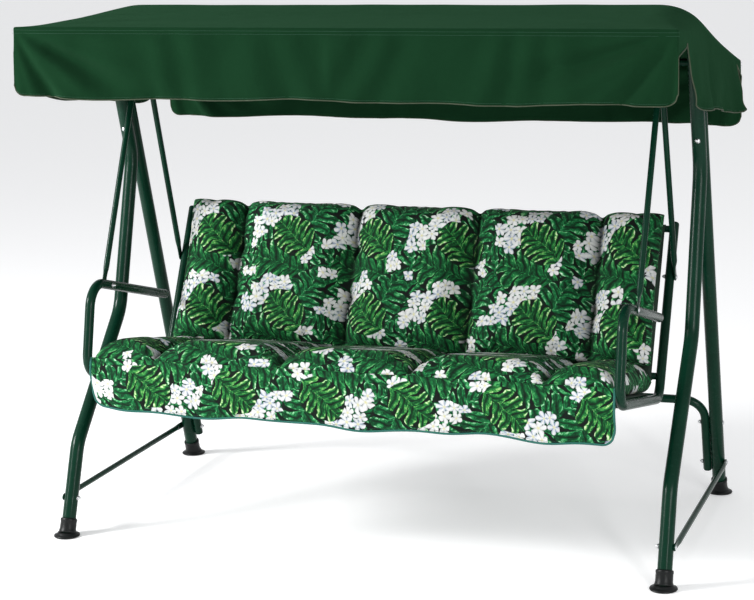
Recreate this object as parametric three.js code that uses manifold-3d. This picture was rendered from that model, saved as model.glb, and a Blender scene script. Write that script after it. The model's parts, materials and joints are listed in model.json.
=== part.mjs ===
// Canopy swing bench: a steel-tube stand, a tilting cloth canopy and a hanging bench with cushions.
// Millimetres, +Z up, +X along the bench, the front towards -Y. The origin is under the middle, on the floor.
import * as THREE from "three";
import { mergeVertices } from "three/addons/utils/BufferGeometryUtils.js";
import Module from "manifold-3d";

const wasm = await Module();
wasm.setup();

// ---------- driving dimensions ----------
const GAP = 0.3; // clearance between pieces that touch
const BOLT_R = 4;
const BOLT_HEAD = { radius: 8.5, height: 5 };
const BOLT_NUT = { radius: 7.2, height: 6.5, tail: 3 };
const HOLE_R = 4.8;
const WALL = 1.5; // wall of every steel tube
const TUBE_SIDES = 12;
const THIN_SIDES = 8;
const BEND_STEPS = 3; // per 60 degrees of bend
const HUG = 1 / Math.cos(Math.PI / TUBE_SIDES); // lets a bore's flats clear a round bar's corners

const LEG_X = 1085.5; // plane of each A-frame
const LEG_R = 25;
const LEG_LEAN = THREE.MathUtils.degToRad(18.25); // of the rear leg, towards the front
const FOOT_Y = 572.4; // half the distance between front and rear feet
const FRONT_LEG_BENDS = [[-459, 317], [-66, 737]]; // [y, z] of the two lower bends
const FRONT_LEG_JOIN_Z = 1303.5; // where the front leg meets the rear leg
const FRONT_LEG_BEND_R = 170;
const LEG_TOP_Z = 1742;
const LEG_FOOT_Z = 14; // the tubes end inside the feet
const APEX_BOLT_Z = [1415, 1700];

const TOP_BAR_Z = 1846;
const TOP_BAR_BEND_R = 100;
const SPIGOT_R = 23;
const SPIGOT_LENGTH = 120;

const FOOT_FLANGE_R = 47;
const FOOT_SLEEVE_R = 29;
const FOOT_HEIGHT = 60;

const STAY_Z = 130;
const STAY_R = 10;
const STRETCHER_R = 16;
const STRETCHER_BEND_R = 75;
const STRETCHER_BAR_ALONG = 405; // height of the cross tube, measured along the rear leg
const STRETCHER_END_ALONG = 105;
const STRETCHER_BOLT_ALONG = 312;

const PIVOT_Z = 1745;
const EYE_X = 970.3; // middle plane of the hanger eyes
const EYE_THICK = 5;
const EYE_R = 16;
const PLATE_THICK = 6; // flattened tube ends
const HANGER_R = 10.5;

const FRAME_X = 950; // middle plane of each side frame of the bench
const FRAME_R = 17;
const ARM_END = [45, 777];
const FRAME_CORNERS = [[-568, 938], [-633, 623], [46.3, 482.6]]; // arm front, seat front, seat back
const FRAME_BEND_RS = [85, 70, 70];
const SEAT_SLOPE = Math.atan(0.207);
const BACK_SLOPE = Math.atan(0.51);
const SEAT_ORIGIN = [-487, 593]; // a point on the seat rail's axis
const BACK_ORIGIN = FRAME_CORNERS[2];
const BACK_TOP = 650; // length of the back posts
const RAIL_R = 12.5;
const RAIL_AT = { seat_rail_front: -45, seat_rail_rear: 488 }; // along the seat
const BACK_RAIL_AT = { back_rail_low: 82, back_rail_top: 632 }; // up the back

const BENCH_HALF = 929; // half the width of the cushions
const CUSHION_BEVEL = 24;
const SLING_THICK = 2.5;
const SLING_HALF = 919;
const FLAP_TOP_Z = 672;
const FLAP_BOTTOM_Z = 492;
const FLAP_THICK = 5;
const FLAP_Y = -623;

const CLOTH = 3;
const CANOPY_FRONT_Y = -688;
const CANOPY_REAR_Y = 592;
const CANOPY_FRONT_Z = 1842;
const CANOPY_REAR_Z = 1641;
const CANOPY_RIDGE_Z = 1880.5;
const CANOPY_RIDGE_HALF = 968; // half the length of the straight ridge
const CANOPY_CORNER_X = 1148;
const CANOPY_WAIST_X = 1124; // the side edge beside the legs
const CANOPY_WAIST_Z = 1762;
const VALANCE_DROP = 240;
const VALANCE_FLARE = 34;
const BAR_R = 12.5;
const BAR_HALF = 1126;
const CLAMP_X = 860;
const CLAMP_R = 28.5;
const ARM_DEPTH = 16.3; // the arms' and bars' axes lie this far under the cloth's upper side
const KNOB_DROP = 62;

const LEAN_UP = new THREE.Vector3(0, -Math.sin(LEG_LEAN), Math.cos(LEG_LEAN));
const LEAN_FRONT = new THREE.Vector3(0, -Math.cos(LEG_LEAN), -Math.sin(LEG_LEAN));
const AXIS_X = new THREE.Vector3(1, 0, 0);
const AXIS_Y = new THREE.Vector3(0, 1, 0);

// ---------- materials ----------
const paint = (color, roughness, metalness) =>
  new THREE.MeshStandardMaterial({ color, roughness, metalness });
const GREEN_STEEL = paint(0x03301c, 0.25, 0.3);
const ZINC = paint(0xb9bec2, 0.35, 1);
const BLACK_PLASTIC = paint(0x0b0b0c, 0.45, 0);
const CANOPY_CLOTH = paint(0x17462b, 0.6, 0);
const PRINT_CLOTH = paint(0x1f6b3a, 0.8, 0);
const SLING_CLOTH = paint(0x12271b, 0.85, 0);

// ---------- solids ----------
function solid(geometry) {
  const bare = geometry.index ? geometry.toNonIndexed() : geometry.clone();
  bare.deleteAttribute("normal");
  bare.deleteAttribute("uv");
  const merged = mergeVertices(bare, 1e-3);
  return new wasm.Manifold(new wasm.Mesh({
    numProp: 3,
    vertProperties: merged.attributes.position.array,
    triVerts: new Uint32Array(merged.index.array),
  }));
}

function geometryOf(body) {
  const mesh = body.getMesh();
  const geometry = new THREE.BufferGeometry();
  geometry.setAttribute("position", new THREE.BufferAttribute(mesh.vertProperties, 3));
  geometry.setIndex(new THREE.BufferAttribute(mesh.triVerts, 1));
  geometry.computeVertexNormals();
  return geometry;
}

const joined = (first, ...others) =>
  geometryOf(others.reduce((body, other) => body.add(solid(other)), solid(first)));
const cut = (blank, ...tools) =>
  geometryOf(tools.reduce((body, tool) => body.subtract(solid(tool)), solid(blank)));

// A path of straight runs joined by round bends, sampled only where its direction changes.
class BentPath extends THREE.Curve {
  constructor(corners, bendRadii) {
    super();
    this.stations = [];
    const last = corners.length - 1;
    corners.forEach((corner, i) => {
      if (i === 0 || i === last) {
        const other = corners[i === 0 ? 1 : last - 1];
        const tangent = other.clone().sub(corner).normalize().multiplyScalar(i === 0 ? 1 : -1);
        this.stations.push({ point: corner, tangent });
        return;
      }
      this.addBend(corners[i - 1], corner, corners[i + 1], bendRadii[i - 1]);
    });
    this.steps = this.stations.length - 1;
  }

  addBend(before, corner, after, radius) {
    const inward = corner.clone().sub(before).normalize();
    const outward = after.clone().sub(corner).normalize();
    const angle = inward.angleTo(outward);
    const start = corner.clone().addScaledVector(inward, -radius * Math.tan(angle / 2));
    const toCentre = outward.clone().addScaledVector(inward, -Math.cos(angle)).normalize();
    const centre = start.clone().addScaledVector(toCentre, radius);
    const steps = Math.max(2, Math.round((BEND_STEPS * angle) / (Math.PI / 3)));
    for (let i = 0; i <= steps; i += 1) {
      const turned = (angle * i) / steps;
      this.stations.push({
        point: centre.clone().addScaledVector(toCentre, -radius * Math.cos(turned))
          .addScaledVector(inward, radius * Math.sin(turned)),
        tangent: inward.clone().multiplyScalar(Math.cos(turned))
          .addScaledVector(toCentre, Math.sin(turned)),
      });
    }
  }

  getPointAt(u) {
    return this.stations[Math.round(u * this.steps)].point.clone();
  }

  getTangentAt(u) {
    return this.stations[Math.round(u * this.steps)].tangent.clone();
  }
}

function circlePoints(radius, sides) {
  return Array.from({ length: sides }, (_, i) => {
    const turned = (2 * Math.PI * i) / sides;
    return new THREE.Vector2(radius * Math.cos(turned), radius * Math.sin(turned));
  });
}

// A round bar along a path of corners, or a tube when it is given a wall.
function bar(corners, radius, { wall = 0, bendRadii = [], sides = TUBE_SIDES } = {}) {
  const section = new THREE.Shape(circlePoints(radius, sides));
  if (wall > 0) section.holes.push(new THREE.Path(circlePoints(radius - wall, sides)));
  const path = new BentPath(corners, bendRadii);
  return new THREE.ExtrudeGeometry(section, {
    steps: path.steps,
    extrudePath: path,
    bevelEnabled: false,
  });
}

// A domed plug that closes a tube's end; it reaches a little into the tube.
function endPlug(end, outward, radius) {
  const reach = 4;
  const profile = [[0, -reach], [1, -reach], [1, 0], [0.85, 0.38], [0.5, 0.62], [0, 0.7]].map(
    ([wide, high]) => new THREE.Vector2(wide * (radius - GAP), high > 0 ? high * radius : high));
  const plug = new THREE.LatheGeometry(profile, TUBE_SIDES);
  plug.applyQuaternion(new THREE.Quaternion().setFromUnitVectors(AXIS_Y, outward.clone().normalize()));
  return plug.translate(end.x, end.y, end.z);
}

// A closed solid through rings of equal point counts, capped at both ends, whichever way the rings turn.
function loft(rings) {
  const count = rings[0].length;
  const faces = [];
  for (let r = 0; r + 1 < rings.length; r += 1) {
    for (let i = 0; i < count; i += 1) {
      const j = (i + 1) % count;
      const [a, b, c, d] = [rings[r][i], rings[r][j], rings[r + 1][j], rings[r + 1][i]];
      // A ring's second half runs back beside its first, so its quads take the other diagonal.
      faces.push(...(2 * i < count ? [[a, b, c], [a, c, d]] : [[a, b, d], [b, c, d]]));
    }
  }
  for (const [ring, turn] of [[rings[0], -1], [rings[rings.length - 1], 1]]) {
    for (const [a, b, c] of capFaces(ring)) {
      faces.push(turn > 0 ? [ring[a], ring[b], ring[c]] : [ring[a], ring[c], ring[b]]);
    }
  }
  const sixVolumes = faces.reduce((sum, [a, b, c]) => sum + a.dot(b.clone().cross(c)), 0);
  const corners = faces.flatMap(([a, b, c]) => (sixVolumes > 0 ? [a, b, c] : [a, c, b]));
  const geometry = new THREE.BufferGeometry();
  geometry.setAttribute("position", new THREE.Float32BufferAttribute(
    corners.flatMap((p) => p.toArray()), 3));
  return geometry;
}

// Triangles that fill a ring made of two matching rows, or of a convex outline, pair by pair.
function capFaces(ring) {
  const faces = [];
  for (let low = 0, high = ring.length - 1; low + 1 < high; low += 1, high -= 1) {
    faces.push([low, low + 1, high]);
    if (low + 1 < high - 1) faces.push([low + 1, high - 1, high]);
  }
  return faces;
}

// A thin tube whose two ends are pressed flat across X, with a bolt hole near each tip and a vent hole.
function flatEndedTube(from, to, radius) {
  const along = to.clone().sub(from).normalize();
  const across = new THREE.Vector3().crossVectors(along, AXIS_X).normalize();
  const side = new THREE.Vector3().crossVectors(across, along).normalize();
  const length = from.distanceTo(to);
  const flat = { tip: 12, end: 42, round: 78, halfWidth: radius * 1.25 };
  const stations = [[-flat.tip, 0.55, 0], [0, 1, 0], [flat.end, 1, 0], [flat.round, 1, 1]];
  const mirrored = stations.map(([at, width, roundness]) => [length - at, width, roundness]).reverse();
  const rings = [...stations, ...mirrored].map(([at, width, roundness]) =>
    circlePoints(1, THIN_SIDES).map((p) => {
      const halfWidth = width * THREE.MathUtils.lerp(flat.halfWidth, radius, roundness);
      const halfThick = THREE.MathUtils.lerp(PLATE_THICK / 2, radius, roundness);
      const squared = THREE.MathUtils.lerp(Math.sign(Math.round(p.y * 100)), p.y, roundness);
      return from.clone().addScaledVector(along, at).addScaledVector(across, halfWidth * p.x)
        .addScaledVector(side, halfThick * squared);
    }));
  const middle = from.clone().lerp(to, 0.5);
  const hollow = [flat.round + 8, length - flat.round - 8].map((at) =>
    from.clone().addScaledVector(along, at));
  const boltHole = (at) => bar([
    at.clone().addScaledVector(AXIS_X, -2 * radius), at.clone().addScaledVector(AXIS_X, 2 * radius),
  ], HOLE_R, { sides: THIN_SIDES });
  return cut(
    loft(rings),
    bar(hollow, radius - WALL, { sides: THIN_SIDES }),
    bar([middle, middle.clone().addScaledVector(AXIS_X, -2 * radius)], 2, { sides: 6 }),
    boltHole(from),
    boltHole(to),
  );
}

// A bolt from under its domed head to the far side of its nut.
function bolt(from, to) {
  const length = from.distanceTo(to);
  const profile = [
    [0, -BOLT_HEAD.height], [BOLT_HEAD.radius * 0.7, -BOLT_HEAD.height * 0.75],
    [BOLT_HEAD.radius, 0], [BOLT_R, 0], [BOLT_R, length], [BOLT_NUT.radius, length],
    [BOLT_NUT.radius, length + BOLT_NUT.height], [BOLT_R, length + BOLT_NUT.height],
    [BOLT_R, length + BOLT_NUT.height + BOLT_NUT.tail], [0, length + BOLT_NUT.height + BOLT_NUT.tail],
  ].map(([radius, at]) => new THREE.Vector2(radius, at));
  const geometry = new THREE.LatheGeometry(profile, 8);
  const along = to.clone().sub(from).normalize();
  geometry.applyQuaternion(new THREE.Quaternion().setFromUnitVectors(AXIS_Y, along));
  return geometry.translate(from.x, from.y, from.z);
}

// ---------- assembly ----------
const bench = new THREE.Group();
const SIDES = [["left", -1], ["right", 1]];

function add(name, geometry, material) {
  const mesh = new THREE.Mesh(geometry, material);
  mesh.name = name;
  bench.add(mesh);
}

const at = (x, y, z) => new THREE.Vector3(x, y, z);
const rearLegAt = (x, z) => at(x, FOOT_Y - Math.tan(LEG_LEAN) * z, z);
const alongRearLeg = (x, distance) => rearLegAt(x, 0).addScaledVector(LEAN_UP, distance);
const frontLegAt = (x, z) => {
  const behind = rearLegAt(x, 0).addScaledVector(LEAN_FRONT, 2 * LEG_R + GAP);
  return behind.addScaledVector(LEAN_UP, (z - behind.z) / LEAN_UP.z);
};
const lowerFrontLegAt = (x, z) => {
  const [bendY, bendZ] = FRONT_LEG_BENDS[0];
  return at(x, -FOOT_Y + ((bendY + FOOT_Y) * z) / bendZ, z);
};
const acrossX = (point, half) => [point.clone().setX(point.x - half), point.clone().setX(point.x + half)];

function apexBoltEnds(x, z) {
  const front = frontLegAt(x, z).addScaledVector(LEAN_FRONT, LEG_R + GAP);
  const rear = front.clone().addScaledVector(LEAN_FRONT, -(4 * LEG_R + 3 * GAP));
  return [front, rear];
}

const hole = (ends) => {
  const along = ends[1].clone().sub(ends[0]).normalize();
  return bar([ends[0].clone().addScaledVector(along, -10), ends[1].clone().addScaledVector(along, 10)],
    HOLE_R, { sides: THIN_SIDES });
};

function addLegs(side, s) {
  const x = s * LEG_X;
  const apexHoles = APEX_BOLT_Z.map((z) => hole(apexBoltEnds(x, z)));
  const frontStayHole = hole(acrossX(lowerFrontLegAt(x, STAY_Z), 2 * LEG_R));
  const rearStayHole = hole(acrossX(rearLegAt(x, STAY_Z), 2 * LEG_R));
  const stretcherHole = hole(acrossX(alongRearLeg(x, STRETCHER_BOLT_ALONG), 2 * LEG_R));
  const frontPath = [
    lowerFrontLegAt(x, LEG_FOOT_Z),
    ...FRONT_LEG_BENDS.map(([y, z]) => at(x, y, z)),
    frontLegAt(x, FRONT_LEG_JOIN_Z),
    frontLegAt(x, LEG_TOP_Z),
  ];
  const bendRadii = [FRONT_LEG_BEND_R, FRONT_LEG_BEND_R, FRONT_LEG_BEND_R];
  add(`front_leg_${side}`,
    cut(joined(bar(frontPath, LEG_R, { wall: WALL, bendRadii }),
      endPlug(frontLegAt(x, LEG_TOP_Z), LEAN_UP, LEG_R)), ...apexHoles, frontStayHole), GREEN_STEEL);
  add(`rear_leg_${side}`,
    cut(bar([rearLegAt(x, LEG_FOOT_Z), rearLegAt(x, LEG_TOP_Z)], LEG_R, { wall: WALL }),
      ...apexHoles, rearStayHole, stretcherHole), GREEN_STEEL);
  ["low", "high"].forEach((level, i) =>
    add(`apex_bolt_${level}_${side}`, bolt(...apexBoltEnds(x, APEX_BOLT_Z[i])), ZINC));
}

function addFoot(name, legPoint, legDirection) {
  const top = legPoint.clone().addScaledVector(legDirection, FOOT_HEIGHT / legDirection.z);
  const seat = legPoint.clone().addScaledVector(legDirection, LEG_FOOT_Z / legDirection.z - GAP);
  const flange = new THREE.LatheGeometry([
    [0, 0], [FOOT_FLANGE_R - 2, 0], [FOOT_FLANGE_R, 3], [FOOT_FLANGE_R - 3, 9],
    [FOOT_SLEEVE_R + 6, 13], [0, 13],
  ].map(([radius, height]) => new THREE.Vector2(radius, height)), 20);
  flange.rotateX(Math.PI / 2).translate(legPoint.x, legPoint.y, 0);
  const sleeveFoot = legPoint.clone().addScaledVector(legDirection, 11 / legDirection.z);
  const sleeve = bar([sleeveFoot, top], FOOT_SLEEVE_R);
  const bore = bar([seat, top.clone().addScaledVector(legDirection, FOOT_HEIGHT)], LEG_R + GAP);
  add(name, geometryOf(solid(flange).add(solid(sleeve)).subtract(solid(bore))), BLACK_PLASTIC);
}

function addFeet(side, s) {
  const frontDirection = lowerFrontLegAt(0, 100).sub(lowerFrontLegAt(0, 0)).normalize();
  addFoot(`foot_front_${side}`, lowerFrontLegAt(s * LEG_X, 0), frontDirection);
  addFoot(`foot_rear_${side}`, rearLegAt(s * LEG_X, 0), LEAN_UP);
}

function addStay(side, s) {
  const x = s * (LEG_X + LEG_R + GAP + PLATE_THICK / 2);
  const ends = [lowerFrontLegAt(x, STAY_Z), rearLegAt(x, STAY_Z)];
  add(`side_stay_${side}`, flatEndedTube(...ends, STAY_R), GREEN_STEEL);
  const outside = x + s * (PLATE_THICK / 2 + GAP);
  const boltTo = (y, inside) => bolt(at(outside, y, STAY_Z), at(inside, y, STAY_Z));
  add(`stay_bolt_front_${side}`, boltTo(ends[0].y, s * (LEG_X - LEG_R - GAP)), ZINC);
  add(`stay_bolt_rear_${side}`,
    boltTo(ends[1].y, s * (LEG_X - LEG_R - 2 * GAP - 2 * STRETCHER_R - GAP)), ZINC);
}

function addStretcher() {
  const x = LEG_X - LEG_R - GAP - STRETCHER_R;
  const corners = [-1, 1].flatMap((s) => {
    const ends = [alongRearLeg(s * x, STRETCHER_END_ALONG), alongRearLeg(s * x, STRETCHER_BAR_ALONG)];
    return s < 0 ? ends : ends.reverse();
  });
  const holes = [-1, 1].flatMap((s) => [
    hole(acrossX(rearLegAt(s * x, STAY_Z), 2 * STRETCHER_R)),
    hole(acrossX(alongRearLeg(s * x, STRETCHER_BOLT_ALONG), 2 * STRETCHER_R)),
  ]);
  const bendRadii = [STRETCHER_BEND_R, STRETCHER_BEND_R];
  add("rear_stretcher", cut(bar(corners, STRETCHER_R, { wall: WALL, bendRadii }), ...holes), GREEN_STEEL);
  SIDES.forEach(([side, s]) => {
    const outer = alongRearLeg(s * (LEG_X + LEG_R + GAP), STRETCHER_BOLT_ALONG);
    const inner = alongRearLeg(s * (x - STRETCHER_R - GAP), STRETCHER_BOLT_ALONG);
    add(`stretcher_bolt_${side}`, bolt(outer, inner), ZINC);
  });
}

const PIVOT_Y = rearLegAt(0, TOP_BAR_Z).y; // the hangers hang under the top bar
function hangerEye(s) {
  const top = TOP_BAR_Z - LEG_R + 1;
  const outline = new THREE.Shape();
  outline.moveTo(-EYE_R - 6, top);
  outline.lineTo(-EYE_R, PIVOT_Z);
  outline.absarc(0, PIVOT_Z, EYE_R, Math.PI, 2 * Math.PI, false);
  outline.lineTo(EYE_R + 6, top);
  const plate = new THREE.ExtrudeGeometry(outline, {
    depth: EYE_THICK, bevelEnabled: false, curveSegments: 8,
  });
  plate.rotateX(Math.PI / 2).rotateZ(Math.PI / 2);
  return plate.translate(s * EYE_X - EYE_THICK / 2, PIVOT_Y, 0);
}

function addTopBar() {
  const corners = [-1, 1].flatMap((s) => {
    const ends = [rearLegAt(s * LEG_X, LEG_TOP_Z).addScaledVector(LEAN_UP, GAP),
      rearLegAt(s * LEG_X, TOP_BAR_Z)];
    return s < 0 ? ends : ends.reverse();
  });
  const bendRadii = [TOP_BAR_BEND_R, TOP_BAR_BEND_R];
  const spigots = SIDES.map(([, s]) => {
    const top = rearLegAt(s * LEG_X, LEG_TOP_Z).addScaledVector(LEAN_UP, 12);
    const tube = [top.clone().addScaledVector(LEAN_UP, -SPIGOT_LENGTH), top];
    return bar(tube, SPIGOT_R + 1, { wall: WALL + 1 + 0.5, sides: TUBE_SIDES });
  });
  const narrowing = SIDES.map(([, s]) => {
    const low = rearLegAt(s * LEG_X, LEG_TOP_Z - 2 * SPIGOT_LENGTH);
    return bar([low, rearLegAt(s * LEG_X, LEG_TOP_Z).addScaledVector(LEAN_UP, GAP)], LEG_R + 5, {
      wall: LEG_R + 5 - SPIGOT_R + GAP,
    });
  });
  const eyeHoles = SIDES.map(([, s]) =>
    hole(acrossX(at(s * EYE_X, PIVOT_Y, PIVOT_Z), 2 * EYE_THICK)));
  const highHoles = SIDES.map(([, s]) => hole(apexBoltEnds(s * LEG_X, APEX_BOLT_Z[1])));
  const whole = joined(bar(corners, LEG_R, { wall: WALL, bendRadii }), ...spigots,
    hangerEye(-1), hangerEye(1));
  add("top_bar", cut(whole, ...narrowing, ...eyeHoles, ...highHoles), GREEN_STEEL);
}

// ---------- canopy ----------
// Height of the cloth's upper side on its middle section, y along the bench's depth.
const CANOPY_SIDES_Y = { front: CANOPY_FRONT_Y, rear: CANOPY_REAR_Y };
const CANOPY_SIDES_Z = { front: CANOPY_FRONT_Z, rear: CANOPY_REAR_Z };
const halfOf = (y) => (y < PIVOT_Y ? "front" : "rear");
const share = (y) => Math.min(1, (y - PIVOT_Y) / (CANOPY_SIDES_Y[halfOf(y)] - PIVOT_Y));
const ridgeZ = (y) => THREE.MathUtils.lerp(CANOPY_RIDGE_Z, CANOPY_SIDES_Z[halfOf(y)], share(y));
const edgeZ = (y) => THREE.MathUtils.lerp(CANOPY_WAIST_Z, CANOPY_SIDES_Z[halfOf(y)], share(y));
const edgeX = (y) => THREE.MathUtils.lerp(CANOPY_WAIST_X, CANOPY_CORNER_X, share(y));

// A point of the top panel's upper side: u from 0 at the straight ridge's end to 1 at the side edge.
function eavesPoint(s, u, y) {
  const fall = 1 - Math.sqrt(1 - u * u);
  const z = THREE.MathUtils.lerp(ridgeZ(y), edgeZ(y), fall);
  return at(s * THREE.MathUtils.lerp(CANOPY_RIDGE_HALF, edgeX(y), u), y, z);
}

const CANOPY_STATIONS_Y = [CANOPY_FRONT_Y, -500, -250, -110, PIVOT_Y, 50, 200, 400, CANOPY_REAR_Y];
const EAVES = [0, 0.3, 0.55, 0.75, 0.9, 0.98, 1];

// A sheet of even thickness from rows of points; the thickness goes along the offset.
function sheet(rows, offset) {
  const rings = rows.map((row) => [
    ...row, ...row.map((p) => p.clone().add(offset(p))).reverse(),
  ]);
  return loft(rings);
}

function addCanopyTop() {
  const across = [...EAVES.slice().reverse().map((u) => [-1, u]), ...EAVES.map((u) => [1, u])];
  const rows = CANOPY_STATIONS_Y.map((y) => across.map(([s, u]) => eavesPoint(s, u, y)));
  const inward = (p) => {
    const sideways = THREE.MathUtils.smoothstep(Math.abs(p.x), CANOPY_RIDGE_HALF, CANOPY_WAIST_X);
    return at(-Math.sign(p.x) * CLOTH * sideways, 0, -CLOTH * (1 - 0.6 * sideways));
  };
  add("canopy_top", sheet(rows, inward), CANOPY_CLOTH);
}

function addValances() {
  const xs = [-1, -0.5, 0, 0.5, 1].map((share_) => share_ * CANOPY_CORNER_X);
  const hang = (y, topZ, outward) => [0, 1].map((down) =>
    xs.map((x) => at(x, y + outward * 10 * down, topZ - VALANCE_DROP * down)));
  const shiftY = (dy) => () => at(0, dy, 0);
  add("canopy_valance_front",
    sheet(hang(CANOPY_FRONT_Y - GAP, CANOPY_FRONT_Z, -1), shiftY(-CLOTH)), CANOPY_CLOTH);
  add("canopy_valance_rear",
    sheet(hang(CANOPY_REAR_Y + GAP, CANOPY_REAR_Z, 1).reverse(), shiftY(CLOTH)), CANOPY_CLOTH);
  SIDES.forEach(([side, s]) => {
    const ys = CANOPY_STATIONS_Y.map((y, i) =>
      y + (i === 0 ? 12 : i === CANOPY_STATIONS_Y.length - 1 ? -12 : 0));
    const rows = [0, 0.25, 1].map((down) => ys.map((y) =>
      at(s * (edgeX(y) + GAP + VALANCE_FLARE * down), y, edgeZ(y) - VALANCE_DROP * down)));
    add(`canopy_valance_${side}`,
      sheet(s > 0 ? rows : rows.reverse(), () => at(s * CLOTH, 0, 0)), CANOPY_CLOTH);
  });
}

// The arms' axis runs parallel to the cloth, a fixed depth under it, from the clamp to the bar.
function armLine(half) {
  const edge = new THREE.Vector2(CANOPY_SIDES_Y[half], CANOPY_SIDES_Z[half]);
  const ridge = new THREE.Vector2(PIVOT_Y, CANOPY_RIDGE_Z);
  const along = edge.clone().sub(ridge).normalize();
  const down = new THREE.Vector2(along.y, -along.x).multiplyScalar(Math.sign(along.x));
  const barAt = edge.clone().addScaledVector(down, ARM_DEPTH).addScaledVector(along, -BAR_R - 1);
  return { along, barAt, ridge: ridge.clone().addScaledVector(down, ARM_DEPTH) };
}

function addCanopyFrame() {
  ["front", "rear"].forEach((half) => {
    const { along, barAt, ridge } = armLine(half);
    const barEnds = [-1, 1].map((s) => at(s * BAR_HALF, barAt.x, barAt.y));
    add(`canopy_bar_${half}`, bar(barEnds, BAR_R, { wall: WALL, sides: THIN_SIDES }), GREEN_STEEL);
    SIDES.forEach(([side, s]) => {
      const start = ridge.clone().addScaledVector(along, CLAMP_R + 12);
      const end = barAt.clone().addScaledVector(along, -BAR_R - GAP);
      const ends = [start, end].map((p) => at(s * CLAMP_X, p.x, p.y));
      add(`canopy_arm_${half}_${side}`, bar(ends, BAR_R, { wall: WALL, sides: THIN_SIDES }), GREEN_STEEL);
    });
  });
}

function addClamp(side, s) {
  const ring = bar([at(s * CLAMP_X - 20, PIVOT_Y, TOP_BAR_Z), at(s * CLAMP_X + 20, PIVOT_Y, TOP_BAR_Z)],
    CLAMP_R, { sides: TUBE_SIDES });
  const stubs = ["front", "rear"].map((half) => {
    const { along, ridge } = armLine(half);
    const ends = [8, CLAMP_R + 70].map((distance) => ridge.clone().addScaledVector(along, distance));
    return bar(ends.map((p) => at(s * CLAMP_X, p.x, p.y)), BAR_R - WALL - GAP, { sides: THIN_SIDES });
  });
  const tab = new THREE.BoxGeometry(40, 14, KNOB_DROP - CLAMP_R + 8)
    .translate(s * CLAMP_X, PIVOT_Y, TOP_BAR_Z - (KNOB_DROP + CLAMP_R - 8) / 2);
  const bore = bar([at(s * CLAMP_X - 30, PIVOT_Y, TOP_BAR_Z), at(s * CLAMP_X + 30, PIVOT_Y, TOP_BAR_Z)],
    HUG * (LEG_R + GAP));
  const split = new THREE.BoxGeometry(60, 2, KNOB_DROP)
    .translate(s * CLAMP_X, PIVOT_Y, TOP_BAR_Z - LEG_R + 4 - KNOB_DROP / 2);
  const knobZ = TOP_BAR_Z - KNOB_DROP + 13;
  const knobHole = bar([at(s * CLAMP_X, PIVOT_Y - 30, knobZ), at(s * CLAMP_X, PIVOT_Y + 30, knobZ)],
    HOLE_R, { sides: THIN_SIDES });
  add(`canopy_clamp_${side}`, cut(joined(ring, ...stubs, tab), bore, split, knobHole), GREEN_STEEL);
  const knob = new THREE.LatheGeometry([
    [0, -22], [12, -21], [17, -15], [17, -6], [11, 0], [BOLT_R, 0], [BOLT_R, 15], [7, 15], [7, 21], [0, 21],
  ].map(([radius, height]) => new THREE.Vector2(radius, height)), 12);
  add(`canopy_knob_${side}`, knob.translate(s * CLAMP_X, PIVOT_Y - 7 - GAP, knobZ), BLACK_PLASTIC);
}

// ---------- the hanging bench ----------
const seatPoint = (x, along, up) => at(x,
  SEAT_ORIGIN[0] + Math.cos(SEAT_SLOPE) * along + Math.sin(SEAT_SLOPE) * up,
  SEAT_ORIGIN[1] - Math.sin(SEAT_SLOPE) * along + Math.cos(SEAT_SLOPE) * up);
const backPoint = (x, along, front) => at(x,
  BACK_ORIGIN[0] + Math.sin(BACK_SLOPE) * along - Math.cos(BACK_SLOPE) * front,
  BACK_ORIGIN[1] + Math.cos(BACK_SLOPE) * along + Math.sin(BACK_SLOPE) * front);

const FRONT_HANGER_FOOT = [-430, 901];
const REAR_HANGER_ALONG = 452;

function addSideFrame(side, s) {
  const x = s * FRAME_X;
  const flat = ([y, z]) => at(x, y, z);
  const corners = [flat(ARM_END), ...FRAME_CORNERS.map(flat), backPoint(x, BACK_TOP, 0)];
  const holes = [flat(FRONT_HANGER_FOOT), backPoint(x, REAR_HANGER_ALONG, 0)].map((p) =>
    hole(acrossX(p, 2 * FRAME_R)));
  const last = corners.length - 1;
  const plugs = [[0, 1], [last, last - 1]].map(([end, before]) =>
    endPlug(corners[end], corners[end].clone().sub(corners[before]), FRAME_R));
  add(`side_frame_${side}`,
    cut(joined(bar(corners, FRAME_R, { wall: WALL, bendRadii: FRAME_BEND_RS }), ...plugs), ...holes),
    GREEN_STEEL);
}

function addRails() {
  const half = FRAME_X - FRAME_R - GAP;
  const rail = (name, left, right) =>
    add(name, bar([left, right], RAIL_R, { wall: WALL, sides: THIN_SIDES }), GREEN_STEEL);
  Object.entries(RAIL_AT).forEach(([name, along]) =>
    rail(name, seatPoint(-half, along, 0), seatPoint(half, along, 0)));
  Object.entries(BACK_RAIL_AT).forEach(([name, along]) =>
    rail(name, backPoint(-half, along, 0), backPoint(half, along, 0)));
  add("seat_support_bar", bar([
    seatPoint(0, RAIL_AT.seat_rail_front + RAIL_R + GAP, -1),
    seatPoint(0, RAIL_AT.seat_rail_rear - RAIL_R - GAP, -1),
  ], 9, { wall: WALL, sides: THIN_SIDES }), GREEN_STEEL);
}

// An outline in a sloping side view, swept across the bench; its edges at the ends can be rounded.
const sideView = (along, up, [y, z]) =>
  new THREE.Matrix4().makeBasis(along, up, AXIS_X).setPosition(0, y, z);
const SEAT_VIEW = sideView(
  at(0, Math.cos(SEAT_SLOPE), -Math.sin(SEAT_SLOPE)),
  at(0, Math.sin(SEAT_SLOPE), Math.cos(SEAT_SLOPE)), SEAT_ORIGIN);
const BACK_VIEW = sideView(
  at(0, Math.sin(BACK_SLOPE), Math.cos(BACK_SLOPE)),
  at(0, -Math.cos(BACK_SLOPE), Math.sin(BACK_SLOPE)), BACK_ORIGIN);

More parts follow.
